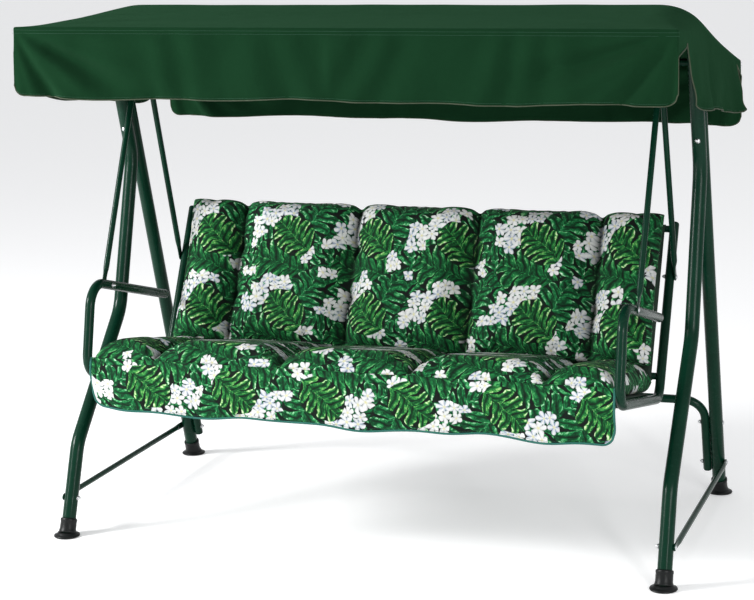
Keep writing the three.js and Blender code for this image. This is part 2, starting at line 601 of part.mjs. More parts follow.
function swept(outline, view, half, bevel = 0) {
  const shape = new THREE.Shape(outline.map(([along, up]) => new THREE.Vector2(along, up)));
  const geometry = new THREE.ExtrudeGeometry(shape, {
    depth: 2 * (half - bevel),
    bevelEnabled: bevel > 0,
    bevelSize: bevel,
    bevelThickness: bevel,
    bevelOffset: -bevel,
    bevelSegments: 2,
  });
  return geometry.translate(0, 0, bevel - half).applyMatrix4(view);
}

// A sling: cloth stretched over two rails, wrapped a half turn round each.
function addSling(name, view, low, high) {
  const inner = RAIL_R + 1.3;
  const outer = inner + SLING_THICK;
  const turn = (centre, radius, from, to) => [0, 1, 2, 3, 4, 5].map((i) => {
    const angle = THREE.MathUtils.lerp(from, to, i / 5);
    return [centre + radius * Math.cos(angle), radius * Math.sin(angle)];
  });
  const quarter = Math.PI / 2;
  const outside = [...turn(low, outer, 3 * quarter, quarter), ...turn(high, outer, quarter, -quarter)];
  const inside = [...turn(high, inner, -quarter, quarter), ...turn(low, inner, quarter, 3 * quarter)];
  add(name, swept([...outside, ...inside].reverse(), view, SLING_HALF), SLING_CLOTH);
}

// Outlines as [along, up] from the seat's and the back's own origins.
const SEAT_CUSHION = [
  [-125, 17], [529, 17], [556, 118], [440, 121], [200, 122], [-110, 118], [-140, 108], [-151, 85], [-139, 45],
];
const BACK_CUSHION = [
  [124, 17], [93.5, 130], [130, 140], [400, 128], [625, 122], [655, 110], [668, 70], [655, 17],
];

function addSoftParts() {
  addSling("seat_sling", SEAT_VIEW, RAIL_AT.seat_rail_front, RAIL_AT.seat_rail_rear);
  addSling("back_sling", BACK_VIEW, BACK_RAIL_AT.back_rail_low, BACK_RAIL_AT.back_rail_top);
  add("seat_cushion", swept(SEAT_CUSHION, SEAT_VIEW, BENCH_HALF, CUSHION_BEVEL), PRINT_CLOTH);
  add("back_cushion",
    swept(BACK_CUSHION.slice().reverse(), BACK_VIEW, BENCH_HALF, CUSHION_BEVEL), PRINT_CLOTH);
  const flap = new THREE.BoxGeometry(2 * BENCH_HALF, FLAP_THICK, FLAP_TOP_Z - FLAP_BOTTOM_Z);
  add("seat_flap", flap.translate(0, FLAP_Y, (FLAP_TOP_Z + FLAP_BOTTOM_Z) / 2), PRINT_CLOTH);
}

function addHangers(side, s) {
  const frameSide = s * (FRAME_X + FRAME_R + GAP + PLATE_THICK / 2);
  const besideEye = EYE_THICK / 2 + GAP + PLATE_THICK / 2;
  const feet = {
    front: at(frameSide, ...FRONT_HANGER_FOOT),
    rear: backPoint(frameSide, REAR_HANGER_ALONG, 0),
  };
  const tops = {
    front: at(s * (EYE_X + besideEye), PIVOT_Y, PIVOT_Z),
    rear: at(s * (EYE_X - besideEye), PIVOT_Y, PIVOT_Z),
  };
  const outward = (point, distance) => point.clone().setX(s * (Math.abs(point.x) + distance));
  const face = PLATE_THICK / 2 + GAP;
  Object.keys(feet).forEach((half) => {
    add(`hanger_${half}_${side}`, flatEndedTube(feet[half], tops[half], HANGER_R), GREEN_STEEL);
    const inner = feet[half].clone().setX(s * (FRAME_X - FRAME_R - GAP));
    add(`hanger_bolt_${half}_${side}`, bolt(outward(feet[half], face), inner), ZINC);
  });
  add(`hanger_pivot_${side}`, bolt(outward(tops.front, face), outward(tops.rear, -face)), ZINC);
}

SIDES.forEach(([side, s]) => {
  addLegs(side, s);
  addFeet(side, s);
  addStay(side, s);
  addClamp(side, s);
  addSideFrame(side, s);
  addHangers(side, s);
});
addStretcher();
addTopBar();
addCanopyFrame();
addCanopyTop();
addValances();
addRails();
addSoftParts();

// The origin sits under the middle of the whole object's box.
const middle = new THREE.Box3().setFromObject(bench).getCenter(new THREE.Vector3());
bench.position.set(-middle.x, -middle.y, 0);

export default bench;
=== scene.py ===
import json
import math

import bmesh
import bpy
import numpy as np
from bpy.props import FloatProperty, FloatVectorProperty, IntProperty, PointerProperty
from mathutils import Matrix, Vector, noise

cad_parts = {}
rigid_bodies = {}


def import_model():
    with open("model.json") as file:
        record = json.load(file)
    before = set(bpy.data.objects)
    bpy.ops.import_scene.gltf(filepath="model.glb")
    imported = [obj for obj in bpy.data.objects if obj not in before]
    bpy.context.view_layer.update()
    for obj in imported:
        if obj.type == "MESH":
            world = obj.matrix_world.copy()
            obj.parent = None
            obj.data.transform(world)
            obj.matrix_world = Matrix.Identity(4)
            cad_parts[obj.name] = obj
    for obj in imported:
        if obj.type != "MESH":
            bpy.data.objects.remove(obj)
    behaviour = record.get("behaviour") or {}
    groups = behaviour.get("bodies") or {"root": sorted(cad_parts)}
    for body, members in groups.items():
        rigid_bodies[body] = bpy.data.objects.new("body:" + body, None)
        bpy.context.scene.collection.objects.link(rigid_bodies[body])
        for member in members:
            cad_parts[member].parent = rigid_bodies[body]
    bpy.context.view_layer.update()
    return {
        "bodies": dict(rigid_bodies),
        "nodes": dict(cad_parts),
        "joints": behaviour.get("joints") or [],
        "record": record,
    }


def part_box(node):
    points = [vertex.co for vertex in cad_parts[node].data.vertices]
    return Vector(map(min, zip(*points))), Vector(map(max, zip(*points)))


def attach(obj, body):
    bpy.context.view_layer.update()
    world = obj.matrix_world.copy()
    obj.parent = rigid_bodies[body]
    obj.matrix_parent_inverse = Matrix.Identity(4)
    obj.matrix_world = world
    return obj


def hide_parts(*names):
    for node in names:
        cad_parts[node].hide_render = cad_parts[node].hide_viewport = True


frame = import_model()

bl_info = {
    "name": "Canopy Swing Bench",
    "version": (1, 0, 0),
    "blender": (4, 5, 0),
    "location": "3D View > Sidebar > Swing Bench",
    "description": "Finishes the steel frame, cushions and cloth roof of a garden swing bench",
    "category": "Add Mesh",
}

# ---------- the bench's own sizes, in metres ----------
# Depths are counted from midway between the front and rear feet; at() moves them to the frame's origin.
DEPTH_SHIFT = 0.04095
SIDES = (("left", -1), ("right", 1))
GAP = 0.0003  # between two pieces that touch
EYE_HALF = 0.0025  # half the thickness of a hanger eye's plate

LEG_X = 1.0855
LEG_R = 0.025
LEG_LEAN = math.radians(18.25)
FOOT_Y = 0.5724
LEG_LOW_Z = 0.014
LEG_TOP_Z = 1.742
FRONT_BENDS = ((-0.459, 0.317), (-0.066, 0.737))
FRONT_JOIN_Z = 1.3035
FRONT_BEND_R = 0.17
APEX_BOLT_Z = (1.415, 1.700)
TOP_BAR_Z = 1.846
TOP_BAR_BEND_R = 0.1
STAY_Z = 0.13
STAY_R = 0.010
STRETCHER_R = 0.016
STRETCHER_BEND_R = 0.075
STRETCHER_ALONG = (0.105, 0.405)
STRETCHER_BOLT_ALONG = 0.312
FOOT_FLANGE_R = 0.047
FOOT_HEIGHT = 0.06

PIVOT_Z = 1.745
EYE_X = 0.9703
PLATE = 0.006
HANGER_R = 0.0105
FRAME_X = 0.95
FRAME_R = 0.017
ARM_END = (0.045, 0.777)
FRAME_CORNERS = ((-0.568, 0.938), (-0.633, 0.623), (0.0463, 0.4826))
FRAME_BEND_RS = (0.085, 0.07, 0.07)
FRONT_HANGER_FOOT = (-0.43, 0.901)
REAR_HANGER_ALONG = 0.452
BACK_POST = 0.65
SEAT_SLOPE = math.atan(0.207)
BACK_SLOPE = math.atan(0.51)
SEAT_ORIGIN = (-0.487, 0.593)
RAIL_R = 0.0125
SEAT_RAILS = (-0.045, 0.488)
BACK_RAILS = (0.082, 0.632)
SLING_HALF = 0.919

CUSHION_HALF = 0.926
CREASES = (-0.695, -0.232, 0.232, 0.695)  # sewn lines across the width

CANOPY_FRONT = (-0.688, 1.842)
CANOPY_REAR = (0.592, 1.641)
RIDGE_Z = 1.8805
RIDGE_HALF = 0.968
CORNER_X = 1.148
WAIST = (1.124, 1.762)
BAR_R = 0.0125
BAR_HALF = 1.126
CLAMP_X = 0.86
ARM_DEPTH = 0.0163

TAN_LEAN = math.tan(LEG_LEAN)
LEAN_UP = Vector((0, -math.sin(LEG_LEAN), math.cos(LEG_LEAN)))
LEAN_FRONT = Vector((0, -math.cos(LEG_LEAN), -math.sin(LEG_LEAN)))
PIVOT_Y = FOOT_Y - TAN_LEAN * TOP_BAR_Z
X_AXIS = Vector((1, 0, 0))


def at(x, y, z):
    return Vector((x, y + DEPTH_SHIFT, z))


def rear_leg(x, z):
    return at(x, FOOT_Y - TAN_LEAN * z, z)


def up_rear_leg(x, distance):
    return rear_leg(x, 0) + LEAN_UP * distance


def front_leg(x, z):
    beside = rear_leg(x, 0) + LEAN_FRONT * (2 * LEG_R + GAP)
    return beside + LEAN_UP * ((z - beside.z) / LEAN_UP.z)


def low_front_leg(x, z):
    bend_y, bend_z = FRONT_BENDS[0]
    return at(x, -FOOT_Y + (bend_y + FOOT_Y) * z / bend_z, z)


def seat_point(x, along, up):
    cos, sin = math.cos(SEAT_SLOPE), math.sin(SEAT_SLOPE)
    return at(x, SEAT_ORIGIN[0] + cos * along + sin * up, SEAT_ORIGIN[1] - sin * along + cos * up)


def back_point(x, along, front):
    cos, sin = math.cos(BACK_SLOPE), math.sin(BACK_SLOPE)
    low_y, low_z = FRAME_CORNERS[2]
    return at(x, low_y + sin * along - cos * front, low_z + cos * along + sin * front)


# ---------- sizes and colours a user may change ----------
def colour(name, description, default):
    return FloatVectorProperty(name=name, description=description, subtype="COLOR", size=3,
                               min=0, max=1, default=default)


class SteelSettings(bpy.types.PropertyGroup):
    paint: colour("Paint", "Colour of the powder coat on the tubes", (0.0020, 0.022, 0.0115))
    sides: IntProperty(name="Tube sides", description="Flats round a tube", default=28, min=8, max=64)
    gloss: FloatProperty(name="Roughness", description="Roughness of the powder coat", default=0.24,
                         min=0, max=1, subtype="FACTOR")


class CushionSettings(bpy.types.PropertyGroup):
    repeat: FloatVectorProperty(name="Print repeat", description="Width and height of the print's repeat",
                                size=2, default=(0.32, 0.285), unit="LENGTH")
    pressure: FloatProperty(name="Filling pressure", description="How hard the filling pushes the cover out",
                            default=4.0, min=0, max=20)
    cell: FloatProperty(name="Mesh cell", description="Size of the cover's mesh cells", default=0.0115,
                        min=0.004, max=0.05, unit="LENGTH")
    binding: colour("Binding", "Colour of the bound edge", (0.004, 0.10, 0.075))


class CanopySettings(bpy.types.PropertyGroup):
    cloth: colour("Cloth", "Colour of the roof cloth", (0.0052, 0.0240, 0.0098))
    drop: FloatProperty(name="Valance drop", description="Height of the hanging edge", default=0.24,
                        min=0.1, max=0.4, unit="LENGTH")
    stitch: FloatProperty(name="Stitch length", description="Distance between two stitches",
                          default=0.0055, min=0.002, max=0.02, unit="LENGTH")
    piping: colour("Piping", "Colour of the edge tape", (0.030, 0.044, 0.020))


# ---------- expressions on node sockets ----------
class Wire:
    """A node's output that adds Math nodes when it is used in an expression."""

    def __init__(self, graph, socket):
        self.graph, self.socket = graph, socket

    def out(self, name):
        return Wire(self.graph, self.socket.node.outputs[name])

    def math(self, operation, *values, clamp=False):
        settings = {"operation": operation, "use_clamp": clamp}
        return self.graph.node("ShaderNodeMath", settings, values)

    def __add__(self, other):
        return self.math("ADD", self, other)

    def __radd__(self, other):
        return self.math("ADD", other, self)

    def __sub__(self, other):
        return self.math("SUBTRACT", self, other)

    def __rsub__(self, other):
        return self.math("SUBTRACT", other, self)

    def __mul__(self, other):
        return self.math("MULTIPLY", self, other)

    def __rmul__(self, other):
        return self.math("MULTIPLY", other, self)

    def __truediv__(self, other):
        return self.math("DIVIDE", self, other)

    def __rtruediv__(self, other):
        return self.math("DIVIDE", other, self)

    def __abs__(self):
        return self.math("ABSOLUTE", self)

    def clamped(self):
        return self.math("ADD", self, 0.0, clamp=True)

    def least(self, other):
        return self.math("MINIMUM", self, other)

    def most(self, other):
        return self.math("MAXIMUM", self, other)


class Graph:
    """Adds nodes to a tree: settings first, then socket values or links."""

    def __init__(self, tree):
        self.tree = tree

    def node(self, kind, settings=None, inputs=(), output=0):
        node = self.tree.nodes.new(kind)
        for key, value in (settings or {}).items():
            if key == "stops":
                self.set_stops(node.color_ramp, value)
            else:
                setattr(node, key, value)
        pairs = inputs.items() if isinstance(inputs, dict) else enumerate(inputs)
        for key, value in pairs:
            if isinstance(value, Wire):
                self.tree.links.new(value.socket, node.inputs[key])
            else:
                node.inputs[key].default_value = value
        return Wire(self, node.outputs[output]) if len(node.outputs) else node

    @staticmethod
    def set_stops(ramp, stops):
        while len(ramp.elements) < len(stops):
            ramp.elements.new(0.5)
        for element, (position, shade) in zip(ramp.elements, stops):
            element.position = position
            element.color = (*shade, 1)

    def mix(self, factor, first, second):
        """Mixes two colours."""
        colours = {0: factor, 6: as_colour(first), 7: as_colour(second)}
        return self.node("ShaderNodeMix", {"data_type": "RGBA"}, colours, output=2)

    def split(self, vector):
        parts = self.node("ShaderNodeSeparateXYZ", None, [vector])
        return [parts.out(axis) for axis in "XYZ"]

    def join(self, x, y, z=0.0):
        return self.node("ShaderNodeCombineXYZ", None, [x, y, z])

    def noise(self, vector, scale, detail=2.0, roughness=0.5):
        inputs = {"Vector": vector, "Scale": scale, "Detail": detail, "Roughness": roughness}
        return self.node("ShaderNodeTexNoise", {"noise_dimensions": "3D"}, inputs)


def as_colour(value):
    return value if isinstance(value, Wire) else (*value, 1)


def new_material(name):
    """A material with a Principled shader, its graph and the Object coordinates."""
    material = bpy.data.materials.new(name)
    material.use_nodes = True
    tree = material.node_tree
    graph = Graph(tree)
    place = graph.node("ShaderNodeTexCoord").out("Object")
    return material, graph, tree.nodes["Principled BSDF"], place


def finish_material(graph, shader, values):
    for name, value in values.items():
        if isinstance(value, Wire):
            graph.tree.links.new(value.socket, shader.inputs[name])
        else:
            shader.inputs[name].default_value = value


def bump(graph, height, distance, strength=1.0, normal=None):
    inputs = {"Height": height, "Distance": distance, "Strength": strength}
    if normal is not None:
        inputs["Normal"] = normal
    return graph.node("ShaderNodeBump", None, inputs)


# ---------- materials ----------
def powder_coat():
    settings = bpy.context.scene.swing_steel
    material, graph, shader, place = new_material("green_powder_coat")
    cloudy = graph.noise(place, 9.0, 3.0)
    peel = graph.noise(place, 420.0, 1.0)
    scuffs = graph.noise(place, 60.0, 4.0, 0.7)
    dark = [0.7 * part for part in settings.paint]
    light = [1.35 * part for part in settings.paint]
    finish_material(graph, shader, {
        "Base Color": graph.mix(cloudy, dark, light),
        "Roughness": settings.gloss - 0.06 + 0.16 * scuffs,
        "Specular IOR Level": 0.09,
        "Coat Weight": 0.05,
        "Coat Roughness": 0.06,
        "Normal": bump(graph, peel, 0.0002, 0.25),
    })
    return material


def zinc_plate():
    material, graph, shader, place = new_material("zinc_plate")
    mottled = graph.noise(place, 300.0, 3.0)
    finish_material(graph, shader, {
        "Base Color": graph.mix(mottled, (0.42, 0.43, 0.44), (0.78, 0.79, 0.80)),
        "Metallic": 1.0,
        "Roughness": 0.22 + 0.25 * mottled,
        "Normal": bump(graph, mottled, 0.0002, 0.4),
    })
    return material


def black_plastic():
    material, graph, shader, place = new_material("moulded_plastic")
    grain = graph.noise(place, 900.0, 2.0)
    dust = graph.noise(place, 25.0, 4.0, 0.65)
    finish_material(graph, shader, {
        "Base Color": graph.mix(dust, (0.003, 0.004, 0.004), (0.010, 0.011, 0.011)),
        "Roughness": 0.27 + 0.2 * dust,
        "Specular IOR Level": 0.16,
        "Normal": bump(graph, grain, 0.0003, 0.5),
    })
    return material


def plain_weave(graph, place, thread):
    """Height of a plain weave whose threads lie that far apart."""
    x, y, z = graph.split(place)
    ripple = [part.math("SINE", part * (2 * math.pi / thread)) for part in (x + z * 0.6, y + z * 0.8)]
    return ripple[0] * ripple[1]


def canopy_cloth():
    settings = bpy.context.scene.swing_canopy
    material, graph, shader, place = new_material("roof_weave")
    cloudy = graph.noise(place, 3.0, 3.0)
    slub = graph.noise(place, 260.0, 2.0, 0.6)
    soft_folds = graph.noise(place, 14.0, 3.0, 0.55)
    dark = [0.78 * part for part in settings.cloth]
    light = [1.2 * part for part in settings.cloth]
    folds = bump(graph, soft_folds, 0.020, 0.18)
    finish_material(graph, shader, {
        "Base Color": graph.mix(0.6 * cloudy + 0.4 * slub, dark, light),
        "Roughness": 0.46 + 0.12 * slub,
        "Specular IOR Level": 0.0,
        "Sheen Weight": 0.04,
        "Sheen Tint": (0.35, 0.9, 0.5, 1),
        "Normal": bump(graph, plain_weave(graph, place, 0.0011), 0.0002, 0.3, folds),
    })
    return material


def plain_cloth(name, shade, thread=0.0016):
    material, graph, shader, place = new_material(name)
    fuzz = graph.noise(place, 500.0, 3.0)
    finish_material(graph, shader, {
        "Base Color": graph.mix(fuzz, [0.6 * part for part in shade], [1.4 * part for part in shade]),
        "Roughness": 0.7 + 0.2 * fuzz,
        "Normal": bump(graph, plain_weave(graph, place, thread), 0.0004, 0.6),
    })
    return material


def wrapped(wire, period):
    return wire.math("WRAP", wire, period / 2, -period / 2)


def leaf_group(repeat):
    """A node group that draws one split leaf on a repeating plane: its mask, whole outline and tone."""
    tree = bpy.data.node_groups.new("split_leaf", "ShaderNodeTree")
    for name, kind in (("Place", "NodeSocketVector"), ("Middle X", "NodeSocketFloat"),
                       ("Middle Y", "NodeSocketFloat"), ("Along X", "NodeSocketFloat"),
                       ("Along Y", "NodeSocketFloat")):
        tree.interface.new_socket(name, in_out="INPUT", socket_type=kind)
    for name in ("Mask", "Hull", "Tone"):
        tree.interface.new_socket(name, in_out="OUTPUT", socket_type="NodeSocketFloat")
    graph = Graph(tree)
    given = graph.node("NodeGroupInput")
    x, y, _ = graph.split(given.out("Place"))
    dx = wrapped(x - given.out("Middle X"), repeat[0])
    dy = wrapped(y - given.out("Middle Y"), repeat[1])
    along = dx * given.out("Along X") + dy * given.out("Along Y")
    sideways = dy * given.out("Along X") - dx * given.out("Along Y")
    across = abs(sideways)
    side = sideways.math("GREATER_THAN", sideways, 0.0)
    share = (along + 0.06) / 0.56
    roundness = (1.0 - share * share).most(0.0001)
    half_width = 0.46 * roundness.math("SQRT", roundness)
    out = across / half_width.most(0.02) + 2.0 * abs(share).math("GREATER_THAN", abs(share), 0.98)
    bend = graph.noise(given.out("Place"), 30.0, 2.0)
    fingers = 3.9 * (along - 0.80 * across + 0.95 * across * across) + 0.5 * side + 0.4 * (bend - 0.5)
    finger = 2.0 * fingers.math("PINGPONG", fingers, 0.5)
    gap = (0.50 * (out - 0.22)).clamped()
    from_gap = (1.0 - gap) - finger
    from_tip = 1.0 - out - 0.30 * finger * finger
    edge = (0.30 * from_gap).least(from_tip)
    brushed = graph.join(fingers * 1.3, across * 4.0, given.out("Middle X") * 40.0)
    strokes = graph.noise(brushed, 2.6, 3.0, 0.7)
    rim = (1.0 - edge * 8.0).clamped()
    vein = (1.0 - finger * 5.0).clamped()
    midrib = (1.0 - across * 40.0).clamped()
    flank = (1.0 - abs(finger - 0.45) * 3.2).clamped()
    bright = (4.0 * (strokes - 0.40)).clamped()
    fine = graph.noise(given.out("Place"), 230.0, 2.0, 0.6)
    lit = 0.62 * flank * (0.35 + 0.65 * out) + 0.60 * rim
    tone = 0.13 + 0.36 * strokes + 0.16 * (fine - 0.5) + bright * lit
    tone = tone + 0.25 * rim * strokes - 0.16 * vein + 0.30 * midrib * bright - 0.10 * (1.0 - out)
    result = graph.node("NodeGroupOutput")
    tree.links.new((edge * 30.0).clamped().socket, result.inputs["Mask"])
    tree.links.new(((1.02 - out) * 14.0).clamped().socket, result.inputs["Hull"])
    tree.links.new(tone.clamped().socket, result.inputs["Tone"])
    return tree


# Leaves of one repeat of the print: middle across and up, heading in degrees, length, share of yellow.
# They are painted in this order; the first FLOWERS_AFTER lie under the flowers.
LEAVES = (
    (0.225, 0.010, 205, 0.200, 0.0),
    (0.030, 0.030, 150, 0.185, 0.0),
    (0.305, 0.135, 35, 0.185, 0.0),
    (0.020, 0.165, 215, 0.175, 0.0),
    (0.130, 0.050, 165, 0.215, 0.1),
    (0.255, 0.225, 60, 0.180, 0.0),
    (0.175, 0.160, 140, 0.160, 0.38),
)
FLOWERS_AFTER = 6
FLOWER_CELL = 0.037
# Clusters of flowers: middle across and up, heading in degrees, half length, half width.
CLUSTERS = (
    (0.090, 0.215, 40, 0.130, 0.048),
    (0.250, 0.085, 120, 0.052, 0.026),
    (0.330, 0.025, 20, 0.026, 0.022),
)


def flowers(graph, place, repeat):
    """Five-petalled flowers on a jittered grid, kept where a cluster lies: mask, brightness, blue, yellow."""
    cells = graph.node("ShaderNodeTexVoronoi", {"voronoi_dimensions": "2D", "feature": "F1"},
                       {"Vector": place, "Scale": 1 / FLOWER_CELL, "Randomness": 0.55}, output=2)
    random_tint = graph.split(cells.out("Color"))
    cx, cy, _ = graph.split(cells)
    x, y, _ = graph.split(place)
    dx, dy = x - cx, y - cy
    radius = graph.node("ShaderNodeVectorMath", {"operation": "LENGTH"}, [graph.join(dx, dy)], output=1)
    size = FLOWER_CELL * (0.66 + 0.14 * random_tint[0])
    out = radius / size
    turn = dy.math("ARCTAN2", dy, dx) + 6.28 * random_tint[1]
    petal = abs(turn.math("COSINE", 2.5 * turn))
    reach = 0.30 + 0.70 * petal.math("POWER", petal, 0.5)
    kept = None
    for middle_x, middle_y, heading, half_length, half_width in CLUSTERS:
        cos, sin = math.cos(math.radians(heading)), math.sin(math.radians(heading))
        ex, ey = wrapped(cx - middle_x, repeat[0]), wrapped(cy - middle_y, repeat[1])
        u = (ex * cos + ey * sin) / half_length
        v = (ey * cos - ex * sin) / half_width
        inside = (1.0 - (u * u + v * v)) * 900.0
        kept = inside if kept is None else kept.most(inside)
    from_edge = reach - out
    mask = (from_edge * 16.0).clamped() * kept.clamped()
    shaded = graph.noise(place, 160.0, 2.0)
    brightness = 0.50 + 0.42 * petal * (0.4 + 0.6 * out) + 0.35 * (shaded - 0.5)
    brightness = brightness - 0.30 * (1.0 - (from_edge * 8.0).clamped()) + 0.15 * (1.0 - out)
    blue = (1.5 * (random_tint[2] - 0.30)).clamped() * (1.0 - petal * 0.9) * 0.8
    yellow = (1.0 - out * 4.2).clamped()
    return mask, brightness.clamped(), blue, yellow


def printed_cloth():
    settings = bpy.context.scene.swing_cushions
    repeat = tuple(settings.repeat)
    material, graph, shader, place = new_material("leaf_print")
    flat = graph.node("ShaderNodeUVMap", {"uv_map": "cut"})
    warp = graph.node("ShaderNodeTexNoise", {"noise_dimensions": "2D"},
                      {"Vector": flat, "Scale": 13.0, "Detail": 1.5}, output=1)
    centred = graph.node("ShaderNodeVectorMath", {"operation": "SUBTRACT"}, [warp, (0.5, 0.5, 0.5)])
    pushed = graph.node("ShaderNodeVectorMath", {"operation": "MULTIPLY"}, [centred, (0.026, 0.026, 0)])
    printed = graph.node("ShaderNodeVectorMath", {"operation": "ADD"}, [flat, pushed])
    leaf_tree = leaf_group(repeat)
    tone, white, sunny = 0.0, 0.0, 0.0
    shape = flowers(graph, printed, repeat)
    for count, (middle_x, middle_y, heading, length, yellow) in enumerate(LEAVES):
        if count == FLOWERS_AFTER:
            white = shape[0]
        angle = math.radians(heading)
        leaf = graph.node("ShaderNodeGroup", {"node_tree": leaf_tree}, {
            "Place": printed, "Middle X": middle_x, "Middle Y": middle_y,
            "Along X": math.cos(angle) / length, "Along Y": math.sin(angle) / length})
        mask, hull = leaf.out("Mask"), leaf.out("Hull")
        tone = leaf.out("Tone") * mask + tone * (1.0 - mask) * (1.0 - 0.9 * hull)
        if count >= FLOWERS_AFTER:
            white = white * (1.0 - mask) * (1.0 - hull)
        sunny = yellow * mask + sunny * (1.0 - mask)
    greens = graph.node("ShaderNodeValToRGB", {"stops": (
        (0.00, (0.004, 0.004, 0.0045)), (0.12, (0.002, 0.016, 0.007)), (0.28, (0.003, 0.060, 0.018)),
        (0.44, (0.007, 0.155, 0.042)), (0.60, (0.040, 0.32, 0.095)), (0.76, (0.22, 0.56, 0.29)),
        (0.95, (0.66, 0.84, 0.66)))}, [tone])
    golds = graph.node("ShaderNodeValToRGB", {"stops": (
        (0.00, (0.004, 0.004, 0.0045)), (0.12, (0.002, 0.018, 0.006)), (0.28, (0.005, 0.080, 0.014)),
        (0.44, (0.025, 0.21, 0.026)), (0.60, (0.16, 0.44, 0.040)), (0.76, (0.55, 0.72, 0.08)),
        (0.95, (0.80, 0.88, 0.38)))}, [tone])
    leaves = graph.mix(sunny, greens, golds)
    petals = graph.mix(shape[1], (0.05, 0.06, 0.08), (0.92, 0.93, 0.91))
    petals = graph.mix(shape[2], petals, (0.16, 0.26, 0.46))
    petals = graph.mix(shape[3], petals, (0.72, 0.68, 0.30))
    fibres = graph.noise(place, 700.0, 2.0)
    puckers = graph.noise(place, 30.0, 3.0, 0.55)
    creased = bump(graph, puckers, 0.012, 0.5)
    # Painted shade: the print is darkened towards near-black along the sewn creases, on top of an even
    # dimming and random cloudy darker patches.
    crease = graph.node("ShaderNodeAttribute", {"attribute_name": "in_crease"}, output=2)
    cloudy = graph.noise(place, 5.0, 3.0)
    shade_and_mottle = 0.24 + 0.62 * crease + 0.20 * cloudy * cloudy
    print_colour = graph.mix(white, leaves, petals)
    finish_material(graph, shader, {
        "Base Color": graph.mix(shade_and_mottle.clamped(), print_colour, (0.003, 0.008, 0.005)),
        "Roughness": 0.72 + 0.15 * fibres,
        "Specular IOR Level": 0.10,
        "Sheen Weight": 0.02,
        "Normal": bump(graph, plain_weave(graph, place, 0.0012), 0.0002, 0.35, creased),
    })
    return material


def material(name, make):
    """The named finish, made the first time that it is asked for."""
    return bpy.data.materials.get(name) or make()


def steel():
    return material("green_powder_coat", powder_coat)


def zinc():
    return material("zinc_plate", zinc_plate)


def plastic():
    return material("moulded_plastic", black_plastic)


def roof_cloth():
    return material("roof_weave", canopy_cloth)


def print_cloth():
    return material("leaf_print", printed_cloth)


def binding_cloth():
    shade = tuple(bpy.context.scene.swing_cushions.binding)
    return material("binding_tape", lambda: plain_cloth("binding_tape", shade, 0.0008))


def piping_cloth():
    shade = tuple(bpy.context.scene.swing_canopy.piping)
    return material("edge_tape", lambda: plain_cloth("edge_tape", shade, 0.0008))


def sling_cloth():
    return material("sling_weave", lambda: plain_cloth("sling_weave", (0.008, 0.026, 0.014), 0.003))


def thread():
    return material("thread", lambda: plain_cloth("thread", (0.012, 0.07, 0.035), 0.0005))


# ---------- meshes ----------
def add_object(name, vertices, faces, finish, smooth=True, edges=()):
    mesh = bpy.data.meshes.new(name)
    mesh.from_pydata([tuple(v) for v in vertices], list(edges), faces)
    mesh.validate()
    if smooth and faces:
        mesh.polygons.foreach_set("use_smooth", [True] * len(mesh.polygons))
    if finish is not None:
        mesh.materials.append(finish)
    made = bpy.data.objects.new(name, mesh)
    bpy.context.scene.collection.objects.link(made)
    return made


def place(made, body, slot, *nodes):
    """The piece rides on a body and stands for the CAD nodes, which are hidden; the slot is not used."""
    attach(made, body)
    if nodes:
        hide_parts(*nodes)
    return made


def bent_path(corners, bend_radii=()):
    """Points of straight runs joined by round bends, sampled every few degrees."""
    points = [Vector(corners[0])]
    for before, corner, after, radius in zip(corners, corners[1:], corners[2:], bend_radii):
        inward, outward = (corner - before).normalized(), (after - corner).normalized()
        angle = inward.angle(outward)
        start = corner - inward * (radius * math.tan(angle / 2))
        to_centre = (outward - inward * math.cos(angle)).normalized()
        centre = start + to_centre * radius
        steps = max(3, round(math.degrees(angle) / 4))
        for step in range(steps + 1):
            turned = angle * step / steps
            point = centre - to_centre * (radius * math.cos(turned))
            points.append(point + inward * (radius * math.sin(turned)))
    points.append(Vector(corners[-1]))
    return points


def frames_along(points):
    """A tangent and two cross directions at each point, turned as little as possible on the way."""
    tangents = []
    for i in range(len(points)):
        before, after = points[max(i - 1, 0)], points[min(i + 1, len(points) - 1)]
        tangents.append((after - before).normalized())
    side = tangents[0].cross(X_AXIS if abs(tangents[0].x) < 0.9 else Vector((0, 0, 1))).normalized()
    frames = []
    for i, tangent in enumerate(tangents):
        if i:
            side = tangents[i - 1].rotation_difference(tangent) @ side
        side = (side - tangent * side.dot(tangent)).normalized()
        frames.append((tangent, side, tangent.cross(side)))
    return frames


def rings_to_mesh(rings):
    """Vertices and faces of a closed skin over rings of points, with a pole at each end."""
    count = len(rings[0])
    vertices = [p for ring in rings for p in ring]
    faces = []
    for r in range(len(rings) - 1):
        for i in range(count):
            j = (i + 1) % count
            low, high = r * count, (r + 1) * count
            faces.append((low + i, low + j, high + j, high + i))
    for ring, start, turn in ((rings[0], 0, -1), (rings[-1], (len(rings) - 1) * count, 1)):
        middle = len(vertices)
        vertices.append(sum((Vector(p) for p in ring), Vector()) / count)
        for i in range(count):
            j = (i + 1) % count
            faces.append((start + i, start + j, middle) if turn > 0 else (start + j, start + i, middle))
    return vertices, faces


def outward(made):
    """Turns every face of a closed mesh outwards."""
    work = bmesh.new()
    work.from_mesh(made.data)
    bmesh.ops.remove_doubles(work, verts=work.verts, dist=1e-6)
    bmesh.ops.recalc_face_normals(work, faces=work.faces)
    work.to_mesh(made.data)
    work.free()
    return made


DOME = ((0.0, 0.0), (0.5, 0.13), (0.8, 0.32), (0.95, 0.6), (1.0, 1.0))  # share of radius, share of height


